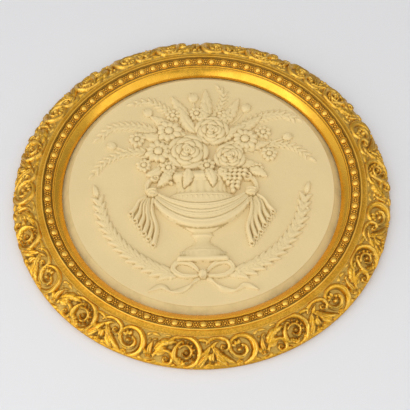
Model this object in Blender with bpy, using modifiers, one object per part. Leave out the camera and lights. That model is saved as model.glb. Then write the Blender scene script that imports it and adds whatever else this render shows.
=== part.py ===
"""Round plaster relief plaque in a carved and gilded frame.

The plaque hangs upright: its back lies in the plane y = 0, its face looks along -Y and +Z is up.
The origin is on the flat back of the frame, at the top, just above the keyhole slot it hangs on.
Sizes are in millimetres, and become metres when a mesh is made.
"""

from math import cos, hypot, pi, radians, sin

import bmesh
import bpy
import numpy as np

MM = 0.001

# Where the centre of the round lies under the origin.
HANG_HEIGHT = 186.0

# Frame: radii, and depths measured forward from the back plane.
SIGHT_RADIUS = 144.5
LIP_UNDERSIDE = 4.8
LIP_TOP = 8.2
SLOPE_RADIUS = 151.2
SLOPE_TOP = 15.2
SLOPE_BULGE = 0.5
FILLET_RADIUS = 152.5
FILLET_TOP = 16.8
CHANNEL_RADIUS = (154.2, 162.0)
CHANNEL_DEPTH = (16.2, 18.6)
RIDGE_RADIUS = 163.5
RIDGE_TOP = 21.1
BAND_RADIUS = 165.0
BAND_DEPTH = 19.2
SCROLL_RADIUS = 169.3
SCROLL_DEPTH = 17.9
EDGE_RADIUS = 195.0
EDGE_DEPTH = 3.6
SCROLL_BULGE = 1.6
REBATE_RADIUS = 150.6

# Bead course and scroll band.
BEADS = 74
BEAD_RING = 158.0
BEAD_RADIUS = 3.0
BEAD_HEIGHT = 2.6
BEAD_START = -0.2154
SCROLL_REPEATS = 11
SCROLL_START = -112.4

# Sheets that the carving is drawn on: length and height of one repeat of scrolls, radius of the relief.
SCROLL_SHEET = (104, 30)
RELIEF_SHEET = 134

# Keyhole slot in the back of the frame.
KEY_HOLE = 10.0
KEY_SLOT = 5.0
KEY_RISE = 11.0
KEY_FACE = 2.2
KEY_DEPTH = 8.5
KEY_BELOW = 17.0

# Plaster plaque.
CLEARANCE = 0.3
FIELD_RADIUS = 137.2
FIELD_DEPTH = 11.6
RELIEF_RADIUS = 134.0
BACK_DEPTH = 0.8
FLANGE_TOP = LIP_UNDERSIDE - CLEARANCE
FLANGE_RADIUS = REBATE_RADIUS - 0.9
BEVEL_RADIUS = SIGHT_RADIUS - 0.7

# Triangle budgets of the two carved faces.
FRAME_FACES = 4250
PLAQUE_FACES = 3850


# Carving over a flat layout: every form is laid on the ones under it.


def eased(low, high, x):
    """0 below low, 1 above high, and smooth between them."""
    u = np.clip((x - low) / (high - low), 0.0, 1.0)
    return u * u * (3.0 - 2.0 * u)


def curve(points, per=8):
    """A smooth curve through a few points."""
    p = np.array(points, float)
    q = np.vstack([2 * p[0] - p[1], p, 2 * p[-1] - p[-2]])
    u = np.linspace(0.0, 1.0, per, endpoint=False)[:, None]
    out = []
    for i in range(len(p) - 1):
        a, b, c, d = q[i : i + 4]
        square = (2 * a - 5 * b + 4 * c - d) * u**2
        cube = (3 * b - a - 3 * c + d) * u**3
        out.append(0.5 * (2 * b + (c - a) * u + square + cube))
    out.append(p[-1:])
    return np.vstack(out)


def whorl(cx, cz, start, end, radii, count=36):
    """A curl round a centre, from one angle to another in degrees, through evenly spaced radii."""
    u = np.linspace(0.0, 1.0, count)
    r = np.interp(u, np.linspace(0.0, 1.0, len(radii)), radii)
    a = np.radians(start + (end - start) * u)
    return np.stack([cx + r * np.cos(a), cz + r * np.sin(a)], 1)


def bow(x0, z0, x1, z1, bend=0.0):
    """A curve between two points whose middle stands off to the left by bend."""
    long = max(np.hypot(x1 - x0, z1 - z0), 1e-6)
    mid = ((x0 + x1) / 2 - bend * (z1 - z0) / long, (z0 + z1) / 2 + bend * (x1 - x0) / long)
    return curve([(x0, z0), mid, (x1, z1)], 6)


def spread(values, share):
    """Values given at even steps along a form, read at each share of its length."""
    values = np.atleast_1d(values)
    return np.interp(share, np.linspace(0.0, 1.0, len(values)), values)


class Carving:
    """Heights at flat places x, z."""

    def __init__(self, x, z):
        self.x = np.asarray(x, float).ravel()
        self.z = np.asarray(z, float).ravel()
        self.h = np.zeros_like(self.x)

    def around(self, low, high):
        """The places inside a rectangle."""
        inside = (self.x > low[0]) & (self.x < high[0]) & (self.z > low[1]) & (self.z < high[1])
        return np.nonzero(inside)[0]

    def along(self, path, reach):
        """The places near a path, with their distance, their side and their share of its length."""
        near = self.around(path.min(0) - reach, path.max(0) + reach)
        step = path[1:] - path[:-1]
        length = np.maximum(np.hypot(step[:, 0], step[:, 1]), 1e-9)
        start = np.concatenate([[0.0], np.cumsum(length)])
        best = np.full(len(near), 1e9)
        side = np.zeros(len(near))
        share = np.zeros(len(near))
        for i in range(len(step)):
            ux, uz = step[i] / length[i]
            dx = self.x[near] - path[i, 0]
            dz = self.z[near] - path[i, 1]
            t = np.clip(dx * ux + dz * uz, 0.0, length[i])
            gap = (dx - t * ux) ** 2 + (dz - t * uz) ** 2
            closer = gap < best
            best[closer] = gap[closer]
            side[closer] = np.sign(ux * dz - uz * dx)[closer]
            share[closer] = (start[i] + t)[closer] / start[-1]
        return near, np.sqrt(best), side, share

    def lay(self, near, height, inside, beyond, moat):
        """Lays a form over the rest where it is inside, in a small moat that sets it off."""
        ring = np.exp(-(np.maximum(beyond, 0.0) ** 2)) * (~inside)
        self.h[near] -= moat * ring * np.clip(self.h[near] / 1.5, 0.0, 1.0)
        here = near[inside]
        self.h[here] = np.maximum(self.h[here], height[inside])

    def bar(self, path, widths, top, base=0.0, groove=0.0, moat=0.4, power=0.5, fold=0.0, lines=0.0):
        """A rounded bar along a path, with its half-widths and heights from end to end."""
        near, gap, side, share = self.along(path, np.max(widths) + 3.0)
        wide = spread(widths, share)
        v = gap / wide
        arch = np.maximum(1.0 - v * v, 0.0) ** power
        dip = 1.0 - groove * np.exp(-((v / 0.3) ** 2))
        if lines:
            dip -= 0.07 * (0.5 - 0.5 * np.cos(2 * pi * lines * (side * v + 1.0)))
        height = spread(base, share) + spread(top, share) * arch * dip * (1.0 + fold * side * v)
        self.lay(near, height, v < 1.0, gap - wide, moat)

    def leaf(self, path, width, top, base=0.0, lobes=0, veins=0.0, moat=0.5, shape=0.75, rib=0.3):
        """A leaf along a path, with a sunk midrib, lobed edges and raised veins."""
        near, gap, _, share = self.along(path, width * 1.3 + 3.0)
        wide = width * np.sin(pi * share**shape) ** 0.7 + 0.12
        wide = wide * (1.0 - 0.16 * (0.5 - 0.5 * np.cos(2 * pi * lobes * share)) ** 2)
        v = gap / wide
        body = np.maximum(1.0 - v**2.2, 0.0) ** 0.6
        height = top * body * (0.55 + 0.45 * np.sin(pi * (share * 0.9 + 0.08)))
        height -= rib * top * np.exp(-((gap / (0.16 * width + 0.15)) ** 2)) * (1.0 - share)
        if veins:
            wave = np.cos(2 * pi * veins * (share - 0.25 * v))
            height += 0.07 * top * wave * np.minimum(v * 2.0, 1.0) * body
        self.lay(near, height + spread(base, share), v < 1.0, gap - wide, moat)

    def dome(self, cx, cz, rx, rz, top, base=0.0, angle=0.0, moat=0.4):
        """An oval boss."""
        reach = max(rx, rz) + 3.0
        near = self.around((cx - reach, cz - reach), (cx + reach, cz + reach))
        dx = self.x[near] - cx
        dz = self.z[near] - cz
        along = dx * cos(radians(angle)) + dz * sin(radians(angle))
        across = dz * cos(radians(angle)) - dx * sin(radians(angle))
        v = np.hypot(along / rx, across / rz)
        height = base + top * np.maximum(1.0 - v * v, 0.0) ** 0.5
        self.lay(near, height, v < 1.0, (v - 1.0) * min(rx, rz), moat)

    def petal(self, cx, cz, rx, rz, angle, top, base):
        """A rolled petal that rises towards its outer edge."""
        reach = max(rx, rz) + 2.0
        near = self.around((cx - reach, cz - reach), (cx + reach, cz + reach))
        dx = self.x[near] - cx
        dz = self.z[near] - cz
        out = (dx * cos(radians(angle)) + dz * sin(radians(angle))) / rx
        across = (dz * cos(radians(angle)) - dx * sin(radians(angle))) / rz
        v = np.hypot(out, across)
        body = np.maximum(1.0 - v**4, 0.0) ** 0.5
        height = base + top * body * (0.55 + 0.45 * out)
        self.lay(near, height, v < 1.0, (v - 1.0) * min(rx, rz), 0.7)


# Scroll ornament of the frame: one repeat holds an open whorl, a closed whorl and what links them.


def scroll_repeat(s, t):
    """Heights of the scrolls on their sheet. s runs along the band, t from its outer edge inwards."""
    c = Carving(s, t)
    for shift in (-SCROLL_SHEET[0], 0, SCROLL_SHEET[0]):
        open_x, open_z = shift, 14.8
        shut_x, shut_z = shift + 54.6, 14.4
        # Leaf tips along both edges, under the rest.
        for x, z, ex, ez, wide in (
            (8.0, 3.4, 17.0, 0.8, 1.9), (28.0, 3.0, 20.0, 0.7, 1.8), (40.0, 2.2, 47.0, 0.6, 1.7),
            (63.0, 4.0, 55.0, 0.6, 2.0), (-24.0, 2.8, -33.0, 0.7, 2.0), (-22.0, 3.4, -13.0, 0.7, 1.9),
            (20.0, 27.4, 29.0, 25.6, 1.7), (33.0, 28.4, 40.0, 27.0, 1.6), (-33.0, 27.4, -41.0, 26.2, 1.7),
            (69.0, 24.0, 77.0, 27.6, 1.9), (15.5, 24.4, 21.0, 27.8, 1.6),
        ):
            c.leaf(bow(shift + x, z, shift + ex, ez, 0.7), wide, 2.3, shape=0.6)
        # Open whorl: a cupped arm from the outer edge over the top that curls in to a bud.
        radii = (13.4, 13.9, 13.8, 13.5, 12.6, 11.0, 9.0, 7.5, 6.9, 6.8, 6.4, 5.4, 3.9)
        c.bar(whorl(open_x, open_z, -78, 414, radii, 64),
              (1.4, 2.9, 3.5, 3.3, 2.9, 2.4, 2.1, 2.2, 2.5, 2.3, 1.6), (2.4, 4.2, 4.9, 4.9, 4.5, 4.0, 4.0,
               4.4, 4.6, 4.2, 3.0),
              fold=-0.34, lines=1.5, groove=0.1, moat=0.8)
        for angle in (150, 122, 96):
            ca, sa = cos(radians(angle)), sin(radians(angle))
            c.leaf(bow(open_x + 9.4 * ca, open_z + 9.4 * sa, open_x + 3.4 * ca, open_z + 3.4 * sa, 0.8),
                   1.9, 3.6)
        c.dome(open_x - 0.4, open_z - 0.6, 2.9, 2.6, 4.6, moat=0.9)
        c.dome(open_x + 3.0, open_z + 1.8, 1.7, 1.5, 3.6, moat=0.8)
        # Rosette under it.
        for i in range(5):
            a = radians(72 * i + 90)
            c.dome(shift - 2.0 + 1.9 * cos(a), 2.7 + 1.6 * sin(a), 1.5, 1.3, 2.6, moat=0.7)
        c.dome(shift - 2.0, 2.7, 1.1, 1.0, 3.2, moat=0.7)
        # Upright husk.
        c.leaf(bow(shift + 19.0, 5.4, shift + 16.2, 13.4, 0.6), 1.9, 3.0)
        c.leaf(bow(shift + 21.6, 5.6, shift + 22.4, 21.0, 1.3), 2.7, 4.3, rib=0.5, moat=0.8)
        c.leaf(bow(shift + 23.4, 6.0, shift + 27.0, 13.0, -0.6), 1.6, 2.8)
        c.dome(shift + 24.2, 22.2, 2.7, 1.4, 3.2, angle=20, moat=0.7)
        c.dome(shift + 19.4, 21.4, 1.5, 1.2, 2.6, angle=-30, moat=0.6)
        c.dome(shift + 21.0, 4.6, 2.8, 1.6, 3.0, moat=0.7)
        # Small low whorl with its stem leaf.
        c.bar(whorl(shift + 37.5, 6.3, 184, -230, (12.4, 8.2, 6.1, 4.6, 4.1, 3.6, 2.8, 1.8)),
              (1.0, 2.4, 2.8, 2.5, 2.2, 1.8, 1.3), (1.8, 3.4, 4.2, 4.0, 3.8,
               3.0), fold=0.3, lines=1.5, moat=0.8)
        c.dome(shift + 37.5, 6.3, 1.7, 1.5, 3.8, moat=0.8)
        c.leaf(bow(shift + 26.4, 9.4, shift + 34.6, 10.4, -0.8), 1.6, 3.0)
        # Closed whorl on a leafy stem.
        c.leaf(bow(shift + 25.2, 12.4, shift + 45.8, 23.4, 3.4), 4.9, 4.4, lobes=4, veins=7, moat=0.8)
        c.bar(whorl(shut_x, shut_z, 154, -88, (19.4, 15.2, 13.6, 12.2, 11.8, 12.2, 13.4)),
              (1.4, 2.4, 3.1, 3.2, 3.0, 1.8), (2.8, 4.2, 5.0, 5.0, 4.4,
               2.6), fold=0.34, lines=1.5, moat=0.8)
        c.bar(whorl(shut_x, shut_z, 112, 262, (10.6, 10.0, 11.0, 11.9, 11.8)),
              (1.6, 2.7, 3.0, 2.7, 1.5), (3.0, 4.2, 4.6, 4.2, 2.8), fold=-0.3, lines=1.5, moat=0.8)
        c.bar(whorl(shut_x, shut_z, 152, -150, (7.2, 6.0, 4.9, 4.4, 4.8, 3.6)),
              (1.4, 2.0, 2.2, 1.9, 1.3), (3.4, 4.2, 4.4, 4.0), fold=0.2, moat=0.8)
        c.dome(shut_x, shut_z, 2.3, 2.1, 5.0, moat=0.9)
        for angle, radius in ((112, 9.6), (84, 9.4), (52, 8.2), (18, 7.6), (-18, 7.4), (-52, 8.2),
                              (-84, 8.6)):
            a = radians(angle)
            c.dome(shut_x + radius * cos(a), shut_z + radius * sin(a), 1.9, 1.35, 3.9, angle=angle - 90,
                   moat=0.8)
        for i in range(3):
            x = shut_x - 8.6 + 2.2 * i
            c.leaf(bow(x, 8.4 - 1.9 * i, x + 4.6, 8.8 - 1.5 * i, -0.7), 1.5, 3.6, moat=0.7)
        # Two striated leaves that lean together, with a curled arm above.
        c.leaf(bow(shift + 61.2, 1.0, shift + 77.4, 20.8, -0.8), 3.8, 4.2, veins=9, rib=0.5, shape=0.9,
               moat=0.8)
        c.leaf(bow(shift + 66.4, 0.9, shift + 77.0, 13.6, 0.7), 2.4, 3.4, veins=6, moat=0.7)
        c.leaf(bow(shift - 25.8, 20.6, shift - 5.2, 2.4, -2.8), 4.0, 4.3, veins=9, rib=0.5, shape=0.9,
               moat=0.8)
        c.leaf(bow(shift - 22.4, 11.4, shift - 11.8, 1.0, -1.8), 2.3, 3.4, veins=6, moat=0.7)
        c.bar(whorl(shift - 14.2, 19.2, 173, -209, (17.4, 7.4, 4.3, 3.9, 3.4, 2.0)),
              (1.0, 2.2, 2.6, 2.3, 2.0, 1.4), (2.2, 3.8, 4.5, 4.2, 3.4), fold=0.3, lines=1.5, moat=0.8)
        c.dome(shift - 14.2, 19.2, 1.7, 1.5, 3.9, moat=0.8)
        c.leaf(bow(shift - 39.2, 26.4, shift - 27.0, 22.4, 1.6), 2.0, 3.0)
        c.leaf(bow(shift - 27.0, 18.4, shift - 18.4, 24.4, 1.0), 1.9, 3.2)
        # Bud between the leaves, over two petals.
        c.leaf(bow(shift - 26.0, 4.6, shift - 24.8, 14.4, 1.2), 3.2, 3.8, rib=0.5, moat=0.7)
        for way in (-1, 1):
            c.leaf(bow(shift - 26.0 + way * 0.4, 1.9, shift - 26.0 + way * 6.6, 2.5, way * 1.4), 1.8, 3.0)
        c.dome(shift - 26.0, 3.0, 1.7, 1.5, 3.4, moat=0.7)
    return c.h.reshape(np.shape(s))


# Relief on the plaque: an urn of flowers hung with cloth, over tied laurel.


URN_OUTLINE = ((12, 33), (9, 35.5), (5, 35.5), (3, 31), (0, 28), (-6, 26), (-12, 26.5), (-17, 34),
               (-24, 38),
               (-30, 39), (-37, 37), (-44, 31), (-51, 22), (-56, 14), (-59, 9.5), (-62, 11.5), (-65.5, 8),
               (-69, 7.5), (-73, 11), (-76, 17), (-80, 20.5), (-80.5, 24), (-88, 24))


def rose(c, cx, cz, r, top, base, turn):
    """A full rose: rings of rolled petals round a tight bud."""
    for ring, (petals, share,
               rise) in enumerate(((5, 1.0, 0.0), (5, 0.78, 0.2), (4, 0.56, 0.38), (3, 0.36, 0.52))):
        for i in range(petals):
            angle = 360.0 * i / petals + turn + 37.0 * ring
            x = cx + r * share * 0.52 * cos(radians(angle))
            z = cz + r * share * 0.52 * sin(radians(angle))
            c.petal(x, z, r * share * 0.5, r * share * 0.56, angle, top * 0.62, base + top * rise)
    c.bar(whorl(cx, cz, turn, turn + 560, (r * 0.2, r * 0.04), 30), r * 0.06, top * 0.36,
          base + top * 0.66, moat=0.3)


def daisy(c, cx, cz, r, petals, top, base, turn):
    """An open flower: petals round a raised eye."""
    for i in range(petals):
        a = radians(360.0 * i / petals + turn)
        long = r * (1.0 - 0.08 * (i % 3))
        path = bow(cx + 0.18 * r * cos(a), cz + 0.18 * r * sin(a), cx + long * cos(a), cz + long * sin(a))
        c.leaf(path, r * min(0.26, 2.5 / petals), top * 0.8, base, shape=1.5, rib=0.35)
    c.dome(cx, cz, r * 0.3, r * 0.3, top * 0.55, base + top * 0.5, moat=0.5)


def bud(c, cx, cz, length, angle, top, base):
    """A closed bud on its stalk."""
    ca, sa = cos(radians(angle)), sin(radians(angle))

    def at(u, v):
        return (cx + length * (u * ca - v * sa), cz + length * (u * sa + v * ca))

    c.bar(curve([at(-1.9, 0.25), at(-1.0, 0.05), at(0.0, 0.0)]), (0.7, 0.9), (1.0, 1.8), base)
    for v, width in ((-0.2, 0.2), (0.2, 0.2), (0.0, 0.24)):
        c.leaf(curve([at(0.0, 0.0), at(0.45, v * 1.2), at(1.0, v * 0.8)]), length * width, top, base,
               rib=0.2)


def spray(c, points, pairs, long, width, top, base, lean, shrink):
    """A stalk with leaves in pairs along it and one at its tip."""
    path = curve(points, 14)
    c.bar(path, (0.9, 0.5), (1.4, 0.9), base, moat=0.2)
    step = np.hypot(*(path[1:] - path[:-1]).T)
    run = np.concatenate([[0.0], np.cumsum(step)]) / step.sum()

    def at(u):
        return np.array([np.interp(u, run, path[:, 0]), np.interp(u, run, path[:, 1])])

    for i in range(pairs):
        u = 0.1 + 0.84 * (i + 0.5) / pairs
        place = at(u)
        ahead = at(u + 0.03) - place
        size = long * (1.0 - (1.0 - shrink) * u)
        for side in (-1, 1):
            angle = np.arctan2(ahead[1], ahead[0]) + side * radians(lean) * 0.72
            tip = place + size * np.array([cos(angle), sin(angle)])
            c.leaf(bow(*place, *tip, -side * size * 0.11), width * (1.0 - 0.4 * u), top, base, moat=0.35)
    ahead = path[-1] - path[-4]
    tip = path[-1] + ahead * long * shrink / np.hypot(*ahead)
    c.leaf(bow(*path[-1], *tip), width * 0.7, top, base, moat=0.35)


def urn(c):
    """The vase: a turned shape seen from the front, with flutes, gadroons and mouldings."""
    level, half = np.array(sorted(URN_OUTLINE), float).T
    near = c.around((-45.0, level[0]), (45.0, level[-1]))
    z = c.z[near]
    wide = np.interp(z, level, half)
    v = abs(c.x[near]) / wide
    turn = np.arcsin(np.clip(v, 0, 1))
    height = 7.0 * (wide / 39.0) ** 0.55 * np.maximum(1.0 - v * v, 0.0) ** 0.5
    flutes = eased(-14.5, -12.5, z) * eased(2.0, 0.0, z) * (v < 0.98)
    height -= 0.6 * flutes * (0.5 - 0.5 * np.cos(turn * 22.0))
    gadroons = eased(-57.0, -52.0, z) * eased(-33.5, -36.5, z)
    height -= 0.9 * gadroons * (1.0 - abs(np.sin(turn * 8.0))) ** 1.5
    for centre, reach, high in ((7.0, 2.1, 0.8), (-15.6, 0.9, 0.6), (-34.8, 0.8, 0.5), (-62.8, 1.1, 0.6),
                                (-79.2, 0.9, 0.5)):
        height += high * np.maximum(1.0 - ((z - centre) / reach) ** 2,
                                    0.0) ** 0.5 * np.maximum(1.0 - v**6, 0.0)
    c.lay(near, height, v < 1.0, (v - 1.0) * wide, 0.5)


def swag(c, reach, level, sags, folds, gather, width, top, bases):
    """A cloth hung between two points, with folds that gather at its ends."""
    u = np.linspace(0.0, 1.0, 33)
    fall = (4.0 * u * (1.0 - u)) ** 0.82
    for i in range(folds):
        share = i / (folds - 1)
        off = gather * (share - 0.5)
        x = reach * (2.0 * u - 1.0) - off * 0.6 * np.cos(pi * u)
        z = level - (sags[0] + (sags[1] - sags[0]) * share) * fall - off * (1.0 - fall) * 0.8
        wide = width * (1.1 + 0.2 * sin(1.9 * i))
        high = top * (0.75 + 0.25 * cos(2.4 * i))
        c.bar(np.stack([x, z], 1), (width * 0.45, width * 0.9, wide, width * 0.9, width * 0.45), high,
              bases,
              moat=0.7, fold=0.12)


def cascade(c, x, z, side, lengths, pitch, base, top):
    """Cloth falling from a knot: folds that open downwards to a hem that runs from fold to fold."""
    middle = (len(lengths) - 1) / 2

    def fold(i, long):
        off = (i - middle) * pitch
        drift = side * (3.0 + long * 0.13)
        return curve([(x + off * 0.15, z), (x + drift * 0.55 + off * 0.55, z - long * 0.33),
                      (x + drift * 0.5 + off * 0.85, z - long * 0.68), (x + drift + off, z - long)])

    for i in range(len(lengths) - 1):
        long = 0.5 * (lengths[i] + lengths[i + 1]) + 1.0
        widths = (1.4, pitch * 0.5, pitch * 0.62, pitch * 0.62)
        c.bar(fold(i + 0.5, long), widths, (top * 0.5, top * 0.42, top * 0.36), base, power=0.3, moat=0.3)
    hem = []
    for i, long in enumerate(lengths):
        high = top * (0.86 + 0.14 * cos(2.3 * i))
        path = fold(i, long)
        widths = (1.0, pitch * 0.36, pitch * 0.43, pitch * 0.5)
        c.bar(path, widths, (high * 0.7, high, high * 0.9, high), base, moat=0.9, fold=0.22 * side,
              power=0.42)
        ex, ez = path[-1]
        near = c.around((ex - pitch, ez - pitch), (ex + pitch, ez + pitch))
        hollow = np.hypot((c.x[near] - ex) / (pitch * 0.42), (c.z[near] - ez + 0.6) / 1.5)
        low = near[hollow < 1.0]
        c.h[low] = np.minimum(c.h[low], base + 0.8 + 1.4 * hollow[hollow < 1.0] ** 2)
        hem += [(ex - pitch * 0.44, ez + 0.4), (ex, ez - 2.3), (ex + pitch * 0.44, ez + 0.4)]
    c.bar(curve(hem, 6), 0.75, top * 0.62, base, moat=0.5)


def laurel_and_bow(c):
    """Two laurel branches that follow the round, tied with a ribbon at the foot."""
    for side in (-1, 1):
        arc = [(side * 108 * sin(radians(a)), -108 * cos(radians(a))) for a in (3, 22, 42, 62, 82)]
        spray(c, arc, 14, 21.0, 4.6, 3.3, 0.2, 36, 0.72)
        for angle in (16, 31, 46, 60, 73):
            for radius, size in ((104.6, 1.9), (111.8, 1.7)):
                c.dome(side * radius * sin(radians(angle)), -radius * cos(radians(angle)), size, size,
                       2.6, 0.2)
    for side in (-1, 1):
        tail = curve([(side * 3, -106), (side * 16, -118), (side * 30, -122), (side * 40, -116),
                      (side * 52, -121)])
        turns = abs(np.cos(pi * 2.5 * np.linspace(0, 1, 25)))
        c.bar(tail, 3.0 * (0.3 + 0.7 * turns), 2.2 * (1.25 - 0.45 * turns), 0.3, power=0.28, moat=0.6,
              fold=0.25)
        loop = [(side * x, z) for x,
                z in ((2, -103), (12, -93), (24, -91), (29, -98), (21, -105), (9, -106), (2, -104))]
        c.bar(curve(loop), (1.2, 2.6, 3.2, 2.8, 2.8, 2.4, 1.2), (2.6, 3.6, 3.8, 3.4, 3.6, 3.0), 0.3,
              groove=0.25, moat=0.8)
    c.dome(0, -104, 4.6, 5.2, 4.6, 0.6, moat=0.8)
    for i in (-1, 0, 1):
        c.bar(bow(i * 1.6 - 0.4, -100, i * 1.6, -108.5, 1.2), (0.5, 0.9, 0.5), 0.8, 4.4, moat=0.3)


def vase_and_cloth(c):
    """The urn on its plinth, its handles, and the cloth that hangs from them."""
    c.bar(bow(-23, -88, 23, -88), 2.6, 5.6, power=0.15)
    for side in (-1, 1):
        grip = [(side * x, z) for x, z in ((31, -1), (44, 6), (54, 2), (56, -9), (49, -19), (38, -25))]
        c.bar(curve(grip), (2.0, 2.6, 2.9, 2.7, 2.4, 2.8), (4.6, 4.2, 4.4, 4.4, 4.4, 5.0), 0.2,
              groove=0.22, moat=0.7)
        c.bar(whorl(side * 47, 5.5, 90, 90 - side * 420, (5.2, 1.2)), (1.9, 1.0), (4.2, 4.6), 0.3, moat=0.6)
    urn(c)
    for i in range(-9, 10):
        a = i * 0.157
        c.dome(34.2 * sin(a), -18.6, 1.25 * max(cos(a), 0.35), 1.25, 0.8 * cos(a) + 0.2, 6.6 * cos(a),
               moat=0.0)
    swag(c, 50.0, -13.0, (17.0, 39.0), 7, 7.0, 2.5, 2.1, (2.4, 4.0, 5.6, 6.3, 5.6, 4.0, 2.4))
    lengths = (58, 51, 45, 37, 30, 22)
    for side in (-1, 1):
        cascade(c, side * 52, -14, side, lengths[::side], 5.6, 0.4, 4.4)
        c.dome(side * 51, -12, 6.2, 5.4, 4.4, 2.4, angle=side * 30, moat=0.8)
        for i in range(3):
            tie = [(side * (46.5 + i), -9.5 - 3.0 * i), (side * 51, -8.8 - 3.2 * i),
                   (side * (56 - i), -10.5 - 3.0 * i)]
            c.bar(curve(tie), (0.6, 1.1, 0.6), 1.0, 5.7, moat=0.5)


def foliage(c):
    """The leaves of the bunch: low ferns behind, two ranks of broad leaves in front."""
    ferns = (
        ([(20, 50), (58, 78), (84, 86), (104, 80)], 13, 17),
        ([(-20, 50), (-62, 70), (-92, 72), (-108, 60)], 13, 17),
        ([(8, 70), (22, 98), (26, 114), (22, 122)], 8, 13),
        ([(-14, 72), (-40, 96), (-56, 106), (-72, 104)], 9, 14),
        ([(30, 34), (70, 46), (96, 44), (114, 30)], 12, 15),
        ([(-30, 34), (-72, 40), (-98, 30), (-112, 14)], 12, 15),
    )
    for points, pairs, long in ferns:
        spray(c, points, pairs, long, long * 0.17, 2.0, 0.15, 42, 0.6)
    back = [(-30, 26, 28), (-12, 30, 36), (14, 36, 36), (41, 40, 38), (66, 42, 38), (94, 44, 38),
            (122, 42, 38),
            (148, 38, 36), (170, 36, 36), (194, 30, 36), (212, 28, 28)]
    front = [(2, 26, 26), (28, 30, 26), (54, 34, 28), (81, 34, 28), (108, 34, 28), (136, 32, 27),
             (181, 26, 26)]
    for rank, turn, bend, width, high, base in ((back, -7, -3, 8.0, 3.4, 0.5),
                                                (front, 6, 2, 6.5, 3.0, 1.7)):
        for angle, start, long in rank:
            a = radians(angle)
            b = radians(angle + turn)
            path = bow(2 + 0.7 * start * cos(a), 40 + 0.7 * start * sin(a),
                       2 + (start + long) * cos(b), 40 + (start + long) * sin(b), bend)
            c.leaf(path, width, high, base, lobes=7, veins=7, moat=0.8)


def flowers(c):
    """Buds, open flowers, rim leaves, grapes and three roses, from the back to the front."""
    for cx, cz, length, angle in ((-7, 104, 13, 96), (47, 90, 12, 58), (-54, 86, 12, 124),
                                  (88, 54, 11, 22), (-90, 46, 11, 160)):
        bud(c, cx, cz, length, angle, 3.4, 0.5)
    small = ((-4, 88, 9.5, 9), (26, 84, 9, 8), (72, 34, 9.5, 9), (-68, 55, 10, 9), (67, 62, 9.5, 8),
             (-30, 86, 9, 8),
             (-60, 22, 9, 9), (58, 16, 8, 8))
    for i, (cx, cz, r, petals) in enumerate(small):
        daisy(c, cx, cz, r, petals, 3.2, 1.4, 7.0 * i)
    for cx, cz, angle, long, high in ((-40, 18, 205, 20, 2.2), (-32, 16, -122, 26, 4.8),
                                      (-14, 14, -100, 22, 6.2),
                                      (6, 14, -74, 22, 6.2), (50, 14, -25, 20, 2.0), (18, 14, -60, 16,
                                       5.6)):
        path = bow(cx, cz, cx + long * cos(radians(angle)), cz + long * sin(radians(angle)), 2.0)
        c.leaf(path, 5.6, 2.6, (high, high * 0.85), lobes=5, veins=6, moat=0.8)
    for row in range(6):
        for i in range(6 - row):
            off = i - (5 - row) / 2
            c.dome(33 + 5.0 * off + 1.4 * sin(row * 2.0), 12 - row * 4.6, 2.9, 2.9, 3.4,
                   3.8 - 0.3 * row - 0.12 * abs(off), moat=0.6)
    large = ((-45, 38, 15, 11), (-34, 64, 14.5, 10), (47, 52, 14.5, 11), (6, 19, 10, 9), (-34, 17, 9.5, 9))
    for i, (cx, cz, r, petals) in enumerate(large):
        daisy(c, cx, cz, r, petals, 3.8, 3.0, 9.0 * i)
    rose(c, 12, 64, 18.5, 5.2, 2.6, 10)
    rose(c, 30, 30, 17, 5.2, 3.0, 50)
    rose(c, -14, 37, 22, 5.8, 2.8, 0)


def plaque_relief(x, z):
    """Heights of the relief over the plaque's field, from its centre, drawn on a round sheet."""
    scale = RELIEF_RADIUS / RELIEF_SHEET
    c = Carving(np.asarray(x) / scale, np.asarray(z) / scale)
    laurel_and_bow(c)
    vase_and_cloth(c)
    foliage(c)
    flowers(c)
    return np.maximum(c.h, 0.0).reshape(np.shape(x)) * scale


# Building the two solids.


def collection(name):
    group = bpy.data.collections.new(name)
    bpy.context.scene.collection.children.link(group)
    return group


def material(name, colour, roughness, metallic):
    mat = bpy.data.materials.new(name)
    mat.use_nodes = True
    shader = mat.node_tree.nodes["Principled BSDF"]
    shader.inputs["Base Color"].default_value = (*colour, 1.0)
    shader.inputs["Roughness"].default_value = roughness
    shader.inputs["Metallic"].default_value = metallic
    return mat


def turned(name, profile, steps, group):
    """A surface of revolution about the local Z axis through radius and depth points."""
    mesh = bpy.data.meshes.new(name)
    points = [(r * MM, 0.0, d * MM) for r, d in profile]
    mesh.from_pydata(points, [(i, i + 1) for i in range(len(points) - 1)], [])
    obj = bpy.data.objects.new(name, mesh)
    group.objects.link(obj)
    screw = obj.modifiers.new("Turn", "SCREW")
    screw.steps = steps
    screw.render_steps = steps
    screw.use_merge_vertices = True
    screw.merge_threshold = 0.00001
    freeze(obj)
    return obj


def freeze(obj):
    """Makes the object's modifiers part of its mesh."""
    ready = bpy.data.meshes.new_from_object(obj.evaluated_get(bpy.context.evaluated_depsgraph_get()))
    obj.modifiers.clear()
    old = obj.data
    obj.data = ready
    bpy.data.meshes.remove(old)


def places(obj):
    """The vertices of an object, in millimetres."""
    flat = np.empty(len(obj.data.vertices) * 3)
    obj.data.vertices.foreach_get("co", flat)
    return flat.reshape(-1, 3) / MM


def put(obj, points):
    obj.data.vertices.foreach_set("co", (points * MM).ravel())
    obj.data.update()


def thin_out(obj, faces, rounds):
    """Softens the finest carving, then keeps about that many triangles, where the surface needs them."""
    soften = obj.modifiers.new("Soften", "SMOOTH")
    soften.use_x = False
    soften.use_y = False
    soften.factor = 0.5
    soften.iterations = rounds
    freeze(obj)
    count = sum(len(p.vertices) - 2 for p in obj.data.polygons)
    fewer = obj.modifiers.new("Thin out", "DECIMATE")
    fewer.ratio = faces / count
    freeze(obj)


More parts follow.
